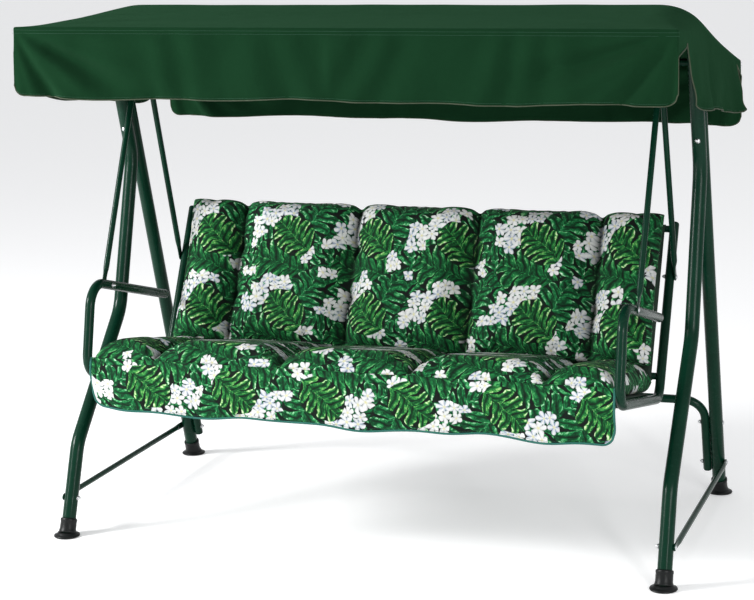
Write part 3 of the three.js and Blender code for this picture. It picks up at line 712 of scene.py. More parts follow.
def tube(name, corners, radius, bend_radii=(), finish=None, dome=0.35, sides=None):
    """A round bar along a bent path, its ends slightly domed."""
    points = bent_path([Vector(c) for c in corners], bend_radii)
    frames = frames_along(points)
    sides = sides or bpy.context.scene.swing_steel.sides
    height = dome * radius

    def ring(point, frame, scale=1.0):
        _, side, other = frame
        turns = [2 * math.pi * i / sides for i in range(sides)]
        return [point + (side * math.cos(t) + other * math.sin(t)) * (radius * scale) for t in turns]

    first = [ring(points[0] - frames[0][0] * height * (1 - rise), frames[0], max(share, 0.15))
             for share, rise in DOME[:-1]]
    last = [ring(points[-1] + frames[-1][0] * height * (1 - rise), frames[-1], max(share, 0.15))
            for share, rise in reversed(DOME[:-1])]
    rings = first + [ring(p, f) for p, f in zip(points, frames)] + last
    return outward(add_object(name, *rings_to_mesh(rings), finish or steel()))


def flat_ended_tube(name, start, end, radius):
    """A thin tube whose ends are pressed flat, with rounded tips."""
    along = (end - start).normalized()
    across = along.cross(X_AXIS).normalized()
    side = across.cross(along).normalized()
    length = (end - start).length
    tip, flat_end, round_from = 0.012, 0.030, 0.070
    half_width = radius * 1.28
    stations = [(-tip, 0.25, 0), (-tip * 0.85, 0.6, 0), (-tip * 0.5, 0.86, 0), (0, 1, 0), (flat_end, 1, 0)]
    rounding = round_from - flat_end
    stations += [(flat_end + rounding * t, 1, t * t * (3 - 2 * t)) for t in (0.25, 0.5, 0.75, 1)]
    stations += [(length / 2, 1, 1)]
    stations += [(length - s, w, r) for s, w, r in reversed(stations[:-1])]
    sides = 24
    rings = []
    for distance, width, roundness in stations:
        ring = []
        for i in range(sides):
            turn = 2 * math.pi * i / sides
            wide = width * (half_width + (radius - half_width) * roundness)
            thick = PLATE / 2 + (radius - PLATE / 2) * roundness
            squared = math.copysign(abs(math.sin(turn)) ** (0.25 + 0.75 * roundness), math.sin(turn))
            point = start + along * distance + across * (wide * math.cos(turn))
            ring.append(point + side * (thick * squared))
        rings.append(ring)
    return outward(add_object(name, *rings_to_mesh(rings), steel()))


def lathe(name, profile, base, axis, finish, sides=40):
    """A turned piece from (radius, height) pairs."""
    turn = Vector((0, 0, 1)).rotation_difference(axis)
    round_steps = [2 * math.pi * i / sides for i in range(sides)]
    rings = [[base + turn @ Vector((radius * math.cos(angle), radius * math.sin(angle), height))
              for angle in round_steps] for radius, height in profile]
    return outward(add_object(name, *rings_to_mesh(rings), finish))


def joined(name, *pieces):
    """Several meshes as one."""
    work = bmesh.new()
    for piece in pieces:
        work.from_mesh(piece.data)
    mesh = bpy.data.meshes.new(name)
    work.to_mesh(mesh)
    work.free()
    mesh.materials.append(pieces[0].data.materials[0])
    made = bpy.data.objects.new(name, mesh)
    bpy.context.scene.collection.objects.link(made)
    for piece in pieces:
        bpy.data.objects.remove(piece)
    return made


# ---------- geometry nodes ----------
def geometry_tree(name, inputs):
    """An empty geometry tree with named inputs; returns the tree, its graph and its inputs."""
    tree = bpy.data.node_groups.new(name, "GeometryNodeTree")
    tree.interface.new_socket("Geometry", in_out="INPUT", socket_type="NodeSocketGeometry")
    for label, kind in inputs:
        tree.interface.new_socket(label, in_out="INPUT", socket_type=kind)
    tree.interface.new_socket("Geometry", in_out="OUTPUT", socket_type="NodeSocketGeometry")
    graph = Graph(tree)
    return tree, graph, graph.node("NodeGroupInput")


def end_tree(graph, geometry, finish):
    """Realises the geometry, gives it its material and ends the tree."""
    real = graph.node("GeometryNodeRealizeInstances", None, [geometry])
    smooth = graph.node("GeometryNodeSetShadeSmooth", None, [real])
    done = graph.node("GeometryNodeSetMaterial", None, {"Geometry": smooth, "Material": finish})
    result = graph.node("NodeGroupOutput")
    graph.tree.links.new(done.socket, result.inputs["Geometry"])


def grown(name, base, tree, values):
    """The result of a tree on a base mesh, as a plain mesh object; the base is removed."""
    modifier = base.modifiers.new(tree.name, "NODES")
    modifier.node_group = tree
    for item in tree.interface.items_tree:
        if item.in_out == "INPUT" and item.name in values:
            modifier[item.identifier] = values[item.name]
    bpy.context.view_layer.update()
    depsgraph = bpy.context.evaluated_depsgraph_get()
    mesh = bpy.data.meshes.new_from_object(base.evaluated_get(depsgraph), depsgraph=depsgraph)
    mesh.name = name
    bpy.data.objects.remove(base)
    made = bpy.data.objects.new(name, mesh)
    bpy.context.scene.collection.objects.link(made)
    return made


def lines_object(name, lines):
    """Open polylines as one mesh of edges."""
    vertices, edges = [], []
    for line in lines:
        first = len(vertices)
        vertices += [tuple(p) for p in line]
        edges += [(first + i, first + i + 1) for i in range(len(line) - 1)]
    return add_object(name, vertices, [], None, edges=edges)


def stitch_tree(finish):
    sizes = (("Spacing", "NodeSocketFloat"), ("Thickness", "NodeSocketFloat"))
    tree, graph, given = geometry_tree("stitches", sizes)
    curve = graph.node("GeometryNodeMeshToCurve", None, {"Mesh": given.out("Geometry")})
    spaced = graph.node("GeometryNodeResampleCurve", {"mode": "LENGTH"},
                        {"Curve": curve, "Length": given.out("Spacing")})
    heading = graph.node("FunctionNodeAlignRotationToVector", {"axis": "Z"},
                         {"Vector": graph.node("GeometryNodeInputTangent")})
    one = graph.node("GeometryNodeMeshCylinder", None, {
        "Vertices": 6, "Radius": given.out("Thickness") / 2, "Depth": given.out("Spacing") * 0.68})
    copies = graph.node("GeometryNodeInstanceOnPoints", None,
                        {"Points": spaced, "Instance": one, "Rotation": heading})
    end_tree(graph, copies, finish)
    return tree


def cord_tree(name, finish):
    sizes = (("Radius", "NodeSocketFloat"), ("Spacing", "NodeSocketFloat"))
    tree, graph, given = geometry_tree(name, sizes)
    curve = graph.node("GeometryNodeMeshToCurve", None, {"Mesh": given.out("Geometry")})
    spaced = graph.node("GeometryNodeResampleCurve", {"mode": "LENGTH"},
                        {"Curve": curve, "Length": given.out("Spacing")})
    circle = graph.node("GeometryNodeCurvePrimitiveCircle", None,
                        {"Resolution": 8, "Radius": given.out("Radius")})
    round_cord = graph.node("GeometryNodeCurveToMesh", None,
                            {"Curve": spaced, "Profile Curve": circle, "Fill Caps": True})
    end_tree(graph, round_cord, finish)
    return tree


def bolt_tree(finish):
    """A washer and a domed head or a nut with its thread end on each point, facing along the normal given."""
    tree, graph, given = geometry_tree("bolts", (("Size", "NodeSocketFloat"),))
    facing = graph.node("GeometryNodeInputNamedAttribute", {"data_type": "FLOAT_VECTOR"}, {"Name": "facing"})
    is_nut = graph.node("GeometryNodeInputNamedAttribute", {"data_type": "BOOLEAN"}, {"Name": "nut"})
    heading = graph.node("FunctionNodeAlignRotationToVector", {"axis": "Z"}, {"Vector": facing})
    size = given.out("Size")

    def disc(sides, radius, depth, rise):
        body = graph.node("GeometryNodeMeshCylinder", None,
                          {"Vertices": sides, "Radius": radius, "Depth": depth})
        lift = graph.join(0.0, 0.0, rise)
        return graph.node("GeometryNodeTransform", None, {"Geometry": body, "Translation": lift})

    def together(*bodies):
        join = graph.tree.nodes.new("GeometryNodeJoinGeometry")
        for body in bodies:
            graph.tree.links.new(body.socket, join.inputs[0])
        return Wire(graph, join.outputs[0])

    ball = graph.node("GeometryNodeMeshUVSphere", None, {"Segments": 24, "Rings": 12, "Radius": size * 1.0})
    dome = graph.node("GeometryNodeTransform", None, {"Geometry": ball, "Scale": (1, 1, 0.55)})
    head = together(dome, disc(28, size * 1.15, size * 0.14, size * 0.07))
    nut = together(disc(6, size * 0.88, size * 0.66, size * 0.47),
                   disc(28, size * 1.1, size * 0.14, size * 0.07),
                   disc(16, size * 0.46, size * 0.9, size * 0.85))
    heads = graph.node("GeometryNodeInstanceOnPoints", None, {
        "Points": given.out("Geometry"), "Instance": head, "Rotation": heading,
        "Selection": graph.node("FunctionNodeBooleanMath", {"operation": "NOT"}, [is_nut])})
    nuts = graph.node("GeometryNodeInstanceOnPoints", None, {
        "Points": given.out("Geometry"), "Instance": nut, "Rotation": heading, "Selection": is_nut})
    end_tree(graph, together(heads, nuts), finish)
    return tree


# ---------- the steel stand ----------
class SWING_OT_stand(bpy.types.Operator):
    """Bends the legs, the top bar, the stretcher and the side stays"""
    bl_idname = "swing.stand"
    bl_label = "Stand"

    def execute(self, context):
        for side, s in SIDES:
            x = s * LEG_X
            front = [low_front_leg(x, LEG_LOW_Z), *(at(x, y, z) for y, z in FRONT_BENDS),
                     front_leg(x, FRONT_JOIN_Z), front_leg(x, LEG_TOP_Z)]
            place(tube(f"front_leg_tube_{side}", front, LEG_R, (FRONT_BEND_R,) * 3), "stand", "green_steel",
                  f"front_leg_{side}")
            rear = tube(f"rear_leg_tube_{side}", [rear_leg(x, LEG_LOW_Z), rear_leg(x, LEG_TOP_Z)], LEG_R)
            place(rear, "stand", "green_steel", f"rear_leg_{side}")
            stay_x = s * (LEG_X + LEG_R + GAP + PLATE / 2)
            stay = flat_ended_tube(f"side_stay_tube_{side}", low_front_leg(stay_x, STAY_Z),
                                   rear_leg(stay_x, STAY_Z), STAY_R)
            place(stay, "stand", "green_steel", f"side_stay_{side}")
        self.cross_tubes()
        return {"FINISHED"}

    def cross_tubes(self):
        stretcher_x = LEG_X - LEG_R - GAP - STRETCHER_R
        low, high = STRETCHER_ALONG
        path = [up_rear_leg(-stretcher_x, low), up_rear_leg(-stretcher_x, high),
                up_rear_leg(stretcher_x, high), up_rear_leg(stretcher_x, low)]
        stretcher = tube("rear_stretcher_tube", path, STRETCHER_R, (STRETCHER_BEND_R,) * 2)
        place(stretcher, "stand", "green_steel", "rear_stretcher")
        ends = [rear_leg(s * LEG_X, LEG_TOP_Z) + LEAN_UP * 0.0012 for s in (-1, 1)]
        path = [ends[0], rear_leg(-LEG_X, TOP_BAR_Z), rear_leg(LEG_X, TOP_BAR_Z), ends[1]]
        bar = tube("top_bar_tube", path, LEG_R, (TOP_BAR_BEND_R,) * 2, dome=0.02)
        eyes = [hanger_eye(s) for _, s in SIDES]
        place(joined("top_bar_with_eyes", bar, *eyes), "stand", "green_steel", "top_bar")


def hanger_eye(s):
    """A welded plate under the top bar with a round lower end and softened edges."""
    outline = [(-0.022, TOP_BAR_Z - LEG_R + 0.004), (-0.0165, PIVOT_Z + 0.004)]
    outline += [(-0.016 * math.cos(t), PIVOT_Z - 0.016 * math.sin(t))
                for t in (math.pi * i / 16 for i in range(17))]
    outline += [(0.0165, PIVOT_Z + 0.004), (0.022, TOP_BAR_Z - LEG_R + 0.004)]
    rings = []
    for x, inset in ((-EYE_HALF, 0.9), (-0.0017, 1.0), (0.0017, 1.0), (EYE_HALF, 0.9)):
        rings.append([at(s * EYE_X + x, PIVOT_Y + y * inset, z) for y, z in outline])
    return outward(add_object("eye", *rings_to_mesh(rings), steel()))


FOOT_FLANGE = (
    (FOOT_FLANGE_R - 0.004, 0.0), (FOOT_FLANGE_R - 0.0012, 0.0006), (FOOT_FLANGE_R, 0.003),
    (FOOT_FLANGE_R - 0.001, 0.0062), (FOOT_FLANGE_R - 0.006, 0.0085), (0.038, 0.0098),
    (0.034, 0.0125), (0.0325, 0.016),
)


class SWING_OT_feet(bpy.types.Operator):
    """Turns the four plastic feet with their flanges and sleeves"""
    bl_idname = "swing.feet"
    bl_label = "Feet"

    def execute(self, context):
        for side, s in SIDES:
            x = s * LEG_X
            front_lean = (low_front_leg(x, 0.1) - low_front_leg(x, 0)).normalized()
            for which, base, lean in (("front", low_front_leg(x, 0), front_lean),
                                      ("rear", rear_leg(x, 0), LEAN_UP)):
                flange = lathe("flange", FOOT_FLANGE, base, Vector((0, 0, 1)), plastic(), 56)
                start = 0.011 / lean.z
                top = FOOT_HEIGHT / lean.z
                sleeve = lathe("sleeve", [
                    (0.0335, start), (0.0315, start + 0.006), (0.0297, start + 0.014), (0.0292, top - 0.012),
                    (0.0302, top - 0.0105), (0.0302, top - 0.0035), (0.0292, top - 0.002), (0.0272, top),
                    (0.0254, top - 0.001)], base, lean, plastic(), 48)
                made = joined(f"foot_{which}_moulding_{side}", flange, sleeve)
                place(made, "stand", "black_plastic", f"foot_{which}_{side}")
        return {"FINISHED"}


# ---------- the hanging bench ----------
class SWING_OT_bench_frame(bpy.types.Operator):
    """Bends the two side frames and adds the rails and the hangers"""
    bl_idname = "swing.bench_frame"
    bl_label = "Bench frame"

    def execute(self, context):
        for side, s in SIDES:
            x = s * FRAME_X
            corners = [at(x, *ARM_END), *(at(x, y, z) for y, z in FRAME_CORNERS), back_point(x, BACK_POST, 0)]
            made = tube(f"side_frame_tube_{side}", corners, FRAME_R, FRAME_BEND_RS, dome=0.65)
            place(made, "swing", "green_steel", f"side_frame_{side}")
            self.hangers(side, s)
        half = FRAME_X - FRAME_R - GAP
        for name, point, along in (("seat_rail_front", seat_point, SEAT_RAILS[0]),
                                   ("seat_rail_rear", seat_point, SEAT_RAILS[1]),
                                   ("back_rail_low", back_point, BACK_RAILS[0]),
                                   ("back_rail_top", back_point, BACK_RAILS[1])):
            made = tube(f"{name}_tube", [point(-half, along, 0), point(half, along, 0)], RAIL_R, dome=0.01)
            place(made, "swing", "green_steel", name)
        ends = [seat_point(0, SEAT_RAILS[0] + RAIL_R, -0.001), seat_point(0, SEAT_RAILS[1] - RAIL_R, -0.001)]
        place(tube("seat_support_tube", ends, 0.009, dome=0.01), "swing", "green_steel", "seat_support_bar")
        return {"FINISHED"}

    def hangers(self, side, s):
        beside_frame = s * (FRAME_X + FRAME_R + GAP + PLATE / 2)
        beside_eye = EYE_HALF + GAP + PLATE / 2
        for which, foot, eye_side in (("front", at(beside_frame, *FRONT_HANGER_FOOT), 1),
                                      ("rear", back_point(beside_frame, REAR_HANGER_ALONG, 0), -1)):
            top = at(s * (EYE_X + eye_side * beside_eye), PIVOT_Y, PIVOT_Z)
            made = flat_ended_tube(f"hanger_{which}_tube_{side}", foot, top, HANGER_R)
            place(made, "swing", "green_steel", f"hanger_{which}_{side}")


def bolt_ends():
    """For each body, the CAD bolts, with the place of each one's head and of its nut."""
    pairs = {"stand": [], "swing": []}
    for side, s in SIDES:
        x = s * LEG_X
        for level, z in zip(("low", "high"), APEX_BOLT_Z):
            front = front_leg(x, z) + LEAN_FRONT * LEG_R
            rear = front - LEAN_FRONT * (4 * LEG_R + 2 * GAP)
            pairs["stand"].append((f"apex_bolt_{level}_{side}", front, rear))
        out = s * (LEG_X + LEG_R + GAP + PLATE)
        inside = s * (LEG_X - LEG_R)
        beyond = s * (LEG_X - LEG_R - 2 * STRETCHER_R - 2 * GAP)
        pairs["stand"].append((f"stay_bolt_front_{side}", low_front_leg(out, STAY_Z),
                               low_front_leg(inside, STAY_Z)))
        pairs["stand"].append((f"stay_bolt_rear_{side}", rear_leg(out, STAY_Z), rear_leg(beyond, STAY_Z)))
        pairs["stand"].append((f"stretcher_bolt_{side}",
                               up_rear_leg(s * (LEG_X + LEG_R), STRETCHER_BOLT_ALONG),
                               up_rear_leg(beyond, STRETCHER_BOLT_ALONG)))
        frame_out = s * (FRAME_X + FRAME_R + GAP + PLATE)
        frame_in = s * (FRAME_X - FRAME_R)
        pairs["swing"].append((f"hanger_bolt_front_{side}", at(frame_out, *FRONT_HANGER_FOOT),
                               at(frame_in, *FRONT_HANGER_FOOT)))
        pairs["swing"].append((f"hanger_bolt_rear_{side}", back_point(frame_out, REAR_HANGER_ALONG, 0),
                               back_point(frame_in, REAR_HANGER_ALONG, 0)))
        eye_out, eye_in = (s * (EYE_X + k * (EYE_HALF + GAP + PLATE)) for k in (1, -1))
        pairs["swing"].append((f"hanger_pivot_{side}", at(eye_out, PIVOT_Y, PIVOT_Z),
                               at(eye_in, PIVOT_Y, PIVOT_Z)))
    return pairs


class SWING_OT_bolts(bpy.types.Operator):
    """Puts a domed head and a nut with its washer on every bolt of the stand and of the bench"""
    bl_idname = "swing.bolts"
    bl_label = "Bolts"

    def execute(self, context):
        tree = bolt_tree(zinc())
        for body, bolts in bolt_ends().items():
            points, facing, nut = [], [], []
            for _, head, tail in bolts:
                out = (head - tail).normalized()
                points += [head, tail]
                facing += [*out, *(-out)]
                nut += [False, True]
            base = add_object("bolt_points", points, [], None)
            base.data.attributes.new("facing", "FLOAT_VECTOR", "POINT").data.foreach_set("vector", facing)
            base.data.attributes.new("nut", "BOOLEAN", "POINT").data.foreach_set("value", nut)
            made = grown(f"{body}_bolts", base, tree, {"Size": 0.0082})
            if not made.data.polygons:
                raise RuntimeError(f"no bolts were made for {body}")
            place(made, body, "zinc", *(name for name, _, _ in bolts))
        return {"FINISHED"}


# ---------- soft parts ----------
def grid_faces(columns, rows, first=0, flip=False):
    faces = []
    for r in range(rows - 1):
        for c in range(columns - 1):
            a = first + r * columns + c
            quad = (a, a + 1, a + columns + 1, a + columns)
            faces.append(quad[::-1] if flip else quad)
    return faces


def lay_cut(mesh, flat):
    """Stores a flat place for each vertex of each face, as on the cloth before it was sewn."""
    layer = mesh.uv_layers.new(name="cut")
    loops = np.zeros(len(mesh.loops), np.int32)
    mesh.loops.foreach_get("vertex_index", loops)
    layer.data.foreach_set("uv", np.asarray(flat, np.float32)[loops].ravel())


def thickened(made, thickness, offset=-1.0, levels=0):
    """The piece with Subdivision and Solidify applied."""
    if levels:
        smooth = made.modifiers.new("smooth", "SUBSURF")
        smooth.levels = smooth.render_levels = levels
    solid = made.modifiers.new("thickness", "SOLIDIFY")
    solid.thickness = thickness
    solid.offset = offset
    return applied(made)


def applied(made):
    """The piece with all its modifiers applied."""
    bpy.context.view_layer.update()
    depsgraph = bpy.context.evaluated_depsgraph_get()
    mesh = bpy.data.meshes.new_from_object(made.evaluated_get(depsgraph), depsgraph=depsgraph)
    made.modifiers.clear()
    old, made.data = made.data, mesh
    mesh.name = made.name
    bpy.data.meshes.remove(old)
    return made


class SWING_OT_slings(bpy.types.Operator):
    """Stretches the two coarse cloth slings that carry the cushions over their rails"""
    bl_idname = "swing.slings"
    bl_label = "Slings"

    def execute(self, context):
        for name, point, (low, high) in (("seat_sling", seat_point, SEAT_RAILS),
                                         ("back_sling", back_point, BACK_RAILS)):
            radius = RAIL_R + 0.0026
            profile = [(low + radius * math.cos(t), radius * math.sin(t))
                       for t in np.linspace(1.5 * math.pi, 0.5 * math.pi, 13)]
            profile += [(low + (high - low) * t, radius - 0.0006 * math.sin(math.pi * t))
                        for t in np.linspace(0, 1, 26)[1:-1]]
            profile += [(high + radius * math.cos(t), radius * math.sin(t))
                        for t in np.linspace(0.5 * math.pi, -0.5 * math.pi, 13)]
            xs = np.linspace(-SLING_HALF, SLING_HALF, 90)
            vertices = [point(x, a, h) for a, h in profile for x in xs]
            made = add_object(f"{name}_cloth", vertices, grid_faces(len(xs), len(profile)), sling_cloth())
            thickened(made, 0.0016, offset=0.0)
            place(made, "swing", "sling_cloth", name)
        return {"FINISHED"}


def swell(distance, reach, power):
    """Rises from 0 at a cushion's edge to 1 at that reach from it."""
    share = np.clip(distance / reach, 0, 1)
    return (1 - (1 - share) ** power) ** (1 / power)


def bell(values, centre, width):
    return np.exp(-((values - centre) / width) ** 2)


# Each cushion: its span along the seat or back, its lowest and highest place off the rails,
# how far its top edge is notched at the creases, and the rows of tufts as shares of its span.
CUSHIONS = {
    "seat": {"point": seat_point, "span": (-0.151, 0.553), "rise": (0.0175, 0.112), "notch": 0.012,
             "tufts": (0.30, 0.72), "crease": 0.038, "tuft": 0.018},
    "back": {"point": back_point, "span": (0.100, 0.672), "rise": (0.0175, 0.116), "notch": 0.022,
             "tufts": (0.34, 0.67), "crease": 0.052, "tuft": 0.020},
}


def cushion_cover(name, shape, cell):
    """The sewn cover before it is filled, with its held points and the painted shade of its creases as
    attributes.
    """
    low, high = shape["span"]
    bottom, top = shape["rise"]
    middle = bottom + 0.42 * (top - bottom)
    columns, rows = round(2 * CUSHION_HALF / cell) + 1, round((high - low) / cell) + 1
    u, t = np.meshgrid(np.linspace(-1, 1, columns), np.linspace(0, 1, rows))
    x, a = u * CUSHION_HALF, low + (high - low) * t
    to_side, to_end = CUSHION_HALF * (1 - np.abs(u)), (high - low) * np.minimum(t, 1 - t)
    notches = sum(0.45 * bell(x, crease, 0.050) + 0.55 * bell(x, crease, 0.014) for crease in CREASES)
    puffed = 1 - np.clip(notches, 0, 1)
    far_end = np.clip((t - 0.75) / 0.25, 0, 1) ** 2
    near_end = np.clip((0.25 - t) / 0.25, 0, 1) ** 2
    a = a - far_end * (shape["notch"] * notches) + near_end * (0.4 * shape["notch"] * notches)
    pulled = 0.010 * np.sin(math.pi * t) * np.clip((np.abs(u) - 0.8) / 0.2, 0, 1)
    x = x - np.sign(u) * pulled
    full = swell(to_side, 0.075, 2.3) * swell(to_end, 0.085, 2.3)
    tufted = sum(bell(t, row, 0.05) for row in shape["tufts"])
    dip = notches * (shape["crease"] + shape["tuft"] * tufted) * swell(to_end, 0.05, 2.0)
    upper = middle + (top - middle) * full * (0.90 + 0.10 * puffed) - dip
    under = middle - (middle - bottom) * swell(to_side, 0.05, 2.6) * swell(to_end, 0.05, 2.6)
    point = shape["point"]
    flat_points = [(x, a, upper), (x, a, under)]
    vertices, cut = [], []
    for side, (gx, ga, gh) in enumerate(flat_points):
        vertices += [point(gx[r, c], ga[r, c], gh[r, c]) for r in range(rows) for c in range(columns)]
        profile = np.stack([ga[:, columns // 2 + 6], gh[:, columns // 2 + 6]], 1)
        runs = np.r_[0, np.cumsum(np.hypot(*np.diff(profile, axis=0).T))]
        run = np.repeat(runs[:, None], columns, 1) * (1 if side == 0 else -1)
        cut.append(np.stack([gx, run], -1).reshape(-1, 2))
    faces = grid_faces(columns, rows) + grid_faces(columns, rows, rows * columns, flip=True)
    made = add_object(name, vertices, faces, print_cloth())
    lay_cut(made.data, np.concatenate(cut))
    edge = (to_side < 1e-9) | (to_end < 1e-9)
    on_crease = np.min([np.abs(x - crease) for crease in CREASES], 0) < 0.55 * cell
    sewn = on_crease & (to_end > 0.012)
    held = np.concatenate([(edge | sewn).ravel(), np.ones(rows * columns, bool)])
    layer = made.data.attributes.new("held", "FLOAT", "POINT")
    layer.data.foreach_set("value", held.astype(np.float32))
    # Painted shade: how strongly the print is darkened along each sewn crease, fading towards the cushion's
    # ends.
    in_crease = sum(bell(x, crease, 0.013) for crease in CREASES) * swell(to_end, 0.04, 2.0)
    layer = made.data.attributes.new("in_crease", "FLOAT", "POINT")
    layer.data.foreach_set("value", np.tile(in_crease.ravel(), 2).astype(np.float32))
    work = bmesh.new()
    work.from_mesh(made.data)
    bmesh.ops.remove_doubles(work, verts=work.verts, dist=1e-5)
    bmesh.ops.recalc_face_normals(work, faces=work.faces)
    work.to_mesh(made.data)
    work.free()
    return made


FILLING_STEPS = 20
FILLING_TRAVEL = 0.024


def filled(made, pressure):
    """Blows the cover up as cloth with its seams held; no point moves further than FILLING_TRAVEL."""
    mesh = made.data
    count = len(mesh.vertices)
    held = np.zeros(count, np.float32)
    mesh.attributes["held"].data.foreach_get("value", held)
    group = made.vertex_groups.new(name="held")
    group.add([int(i) for i in np.flatnonzero(held > 0.5)], 1.0, "REPLACE")
    cloth = made.modifiers.new("filling", "CLOTH")
    settings = cloth.settings
    settings.quality = 6
    settings.mass = 0.25
    settings.tension_stiffness = 20
    settings.compression_stiffness = 8
    settings.shear_stiffness = 6
    settings.bending_stiffness = 0.25
    settings.vertex_group_mass = "held"
    settings.pin_stiffness = 1.0
    settings.shrink_min = -0.045
    settings.use_pressure = True
    settings.uniform_pressure_force = pressure
    settings.effector_weights.gravity = 0
    cloth.collision_settings.use_collision = False
    cloth.point_cache.frame_start = 1
    cloth.point_cache.frame_end = FILLING_STEPS
    before = np.zeros(count * 3, np.float32)
    mesh.vertices.foreach_get("co", before)
    scene = bpy.context.scene
    for step in range(1, FILLING_STEPS + 1):
        scene.frame_set(step)
    depsgraph = bpy.context.evaluated_depsgraph_get()
    after = np.zeros(count * 3, np.float32)
    made.evaluated_get(depsgraph).data.vertices.foreach_get("co", after)
    made.modifiers.clear()
    scene.frame_set(1)
    moved = (after - before).reshape(-1, 3)
    length = np.linalg.norm(moved, axis=1, keepdims=True)
    moved *= np.minimum(1, FILLING_TRAVEL / np.maximum(length, 1e-9))
    mesh.vertices.foreach_set("co", (before.reshape(-1, 3) + moved).ravel())
    mesh.update()
    return made


class SWING_OT_cushions(bpy.types.Operator):
    """Sews and fills the seat cushion and the back cushion"""
    bl_idname = "swing.cushions"
    bl_label = "Cushions"

    def execute(self, context):
        settings = context.scene.swing_cushions
        for which, shape in CUSHIONS.items():
            made = cushion_cover(f"{which}_cushion_cover", shape, settings.cell * (1))
            filled(made, settings.pressure)
            made.vertex_groups.clear()
            smooth = made.modifiers.new("smooth", "SUBSURF")
            smooth.levels = smooth.render_levels = 1
            applied(made)
            place(made, "swing", "print_cloth", f"{which}_cushion")
        return {"FINISHED"}


FLAP_HALF = 0.934
FLAP_TOP = (-0.6190, 0.6800)


def flap_point(x, down):
    """A point of the hanging front flap: down runs from 0 at its seam to 1 at its bound edge."""
    sides = abs(x) / FLAP_HALF
    drop = 0.190 - 0.016 * max(0.0, -x / FLAP_HALF - 0.35)
    drop += 0.005 * math.sin(9.5 * x + 0.7) + 0.004 * math.sin(21 * x)
    corner = max(0.0, (sides - 0.955) / 0.045)
    drop -= 0.045 * (1 - math.sqrt(max(0.0, 1 - corner * corner)))
    waves = 0.007 * math.sin(8.2 * x + 1.1) + 0.004 * math.sin(17 * x + 2.0) + 0.002 * math.sin(37 * x)
    out = 0.012 * math.sin(math.pi * min(1, down * 1.15)) + waves * down ** 1.3 - 0.006
    pucker = 0.0016 * math.sin(120 * x + 2 * math.sin(11 * x)) * math.exp(-7 * down)
    return at(x, FLAP_TOP[0] - 0.010 - out - pucker, FLAP_TOP[1] - drop * down)


class SWING_OT_flap(bpy.types.Operator):
    """Hangs the printed flap from the seat cushion's front seam and binds its edge"""
    bl_idname = "swing.flap"
    bl_label = "Front flap"

    def execute(self, context):
        xs = np.linspace(-FLAP_HALF, FLAP_HALF, 230)
        downs = np.linspace(0, 1, 26)
        vertices = [flap_point(x, down) for down in downs for x in xs]
        made = add_object("seat_flap_cloth", vertices, grid_faces(len(xs), len(downs)), print_cloth())
        lay_cut(made.data, [(-x + 0.11, 0.19 * down + 0.06) for down in downs for x in xs])
        thickened(made, 0.003, offset=0.0)
        place(made, "swing", "print_cloth", "seat_flap")
        edge = [flap_point(-FLAP_HALF, d) for d in downs] + [flap_point(x, 1) for x in xs[1:-1]]
        edge += [flap_point(FLAP_HALF, d) for d in downs[::-1]]
        binding = grown("flap_binding", lines_object("binding_line", [edge]),
                        cord_tree("binding", binding_cloth()), {"Radius": 0.0042, "Spacing": 0.008})
        place(binding, "swing", "print_cloth")
        seam = [flap_point(x, 0.955) + Vector((0, -0.0016, 0)) for x in xs[4:-4]]
        stitches = grown("flap_stitches", lines_object("seam_line", [seam]), stitch_tree(thread()),
                         {"Spacing": 0.0055, "Thickness": 0.0011})
        place(stitches, "swing", "print_cloth")
        return {"FINISHED"}


# ---------- the roof ----------
def roof_half(y):
    return CANOPY_FRONT if y < PIVOT_Y else CANOPY_REAR


def roof_share(y, softness=0.05):
    """How far from the ridge to the front or rear bar, eased over the ridge."""
    share = min(1.0, (y - PIVOT_Y) / (roof_half(y)[0] - PIVOT_Y))
    return (math.hypot(share, softness) - softness) / (math.hypot(1, softness) - softness)


def edge_place(y):
    """x and z of the roof's side edge."""
    share = min(1.0, (y - PIVOT_Y) / (roof_half(y)[0] - PIVOT_Y))
    return WAIST[0] + (CORNER_X - WAIST[0]) * share, WAIST[1] + (roof_half(y)[1] - WAIST[1]) * share


def roof_point(u, y):
    """The roof's upper side: |u| is 1 where the level middle ends and 2 down at the side edge."""
    share = roof_share(y)
    ridge_z = RIDGE_Z + (roof_half(y)[1] - RIDGE_Z) * share
    level = min(1.0, abs(u))
    past = max(0.0, abs(u) - 1)
    edge_x, edge_z = edge_place(y)
    x = RIDGE_HALF * level + (edge_x - RIDGE_HALF) * past
    z = ridge_z + (edge_z - ridge_z) * (1 - math.sqrt(max(0.0, 1 - past * past)))
    between_arms = max(0.0, 1 - (level * RIDGE_HALF / CLAMP_X) ** 4)
    z -= 0.010 * math.sin(math.pi * share) * between_arms
    x = math.copysign(x, u)
    front = Vector((abs(x) - CORNER_X, y - CANOPY_FRONT[0]))
    turn = math.atan2(front.y, -front.x + 1e-6)
    fan = math.sin(15 * turn + 1.5 * x) * front.length * math.exp(-front.length / 0.16)
    lift = 0.045 * fan * (1 - share ** 8) * (1 - past) + 0.0018 * noise.noise(Vector((x * 5, y * 7, 1.7)))
    return at(x, y, z + lift * min(1, 6 * (1 - share) + 0.1))


def ripple(along, down, seed):
    """How far the hanging cloth stands out, growing towards its hem."""
    wide = math.sin(along * 6.1 + seed) + 0.7 * math.sin(along * 11.7 + 2 * seed)
    wide += 0.35 * math.sin(along * 27 + seed)
    rough = noise.noise(Vector((along * 6, down * 2, seed)))
    hem = 0.0011 * math.sin(along * 150 + 3 * math.sin(along * 9)) * max(0.0, down - 0.8) / 0.2
    return down ** 1.3 * (0.0062 * wide + 0.014 * rough) + hem


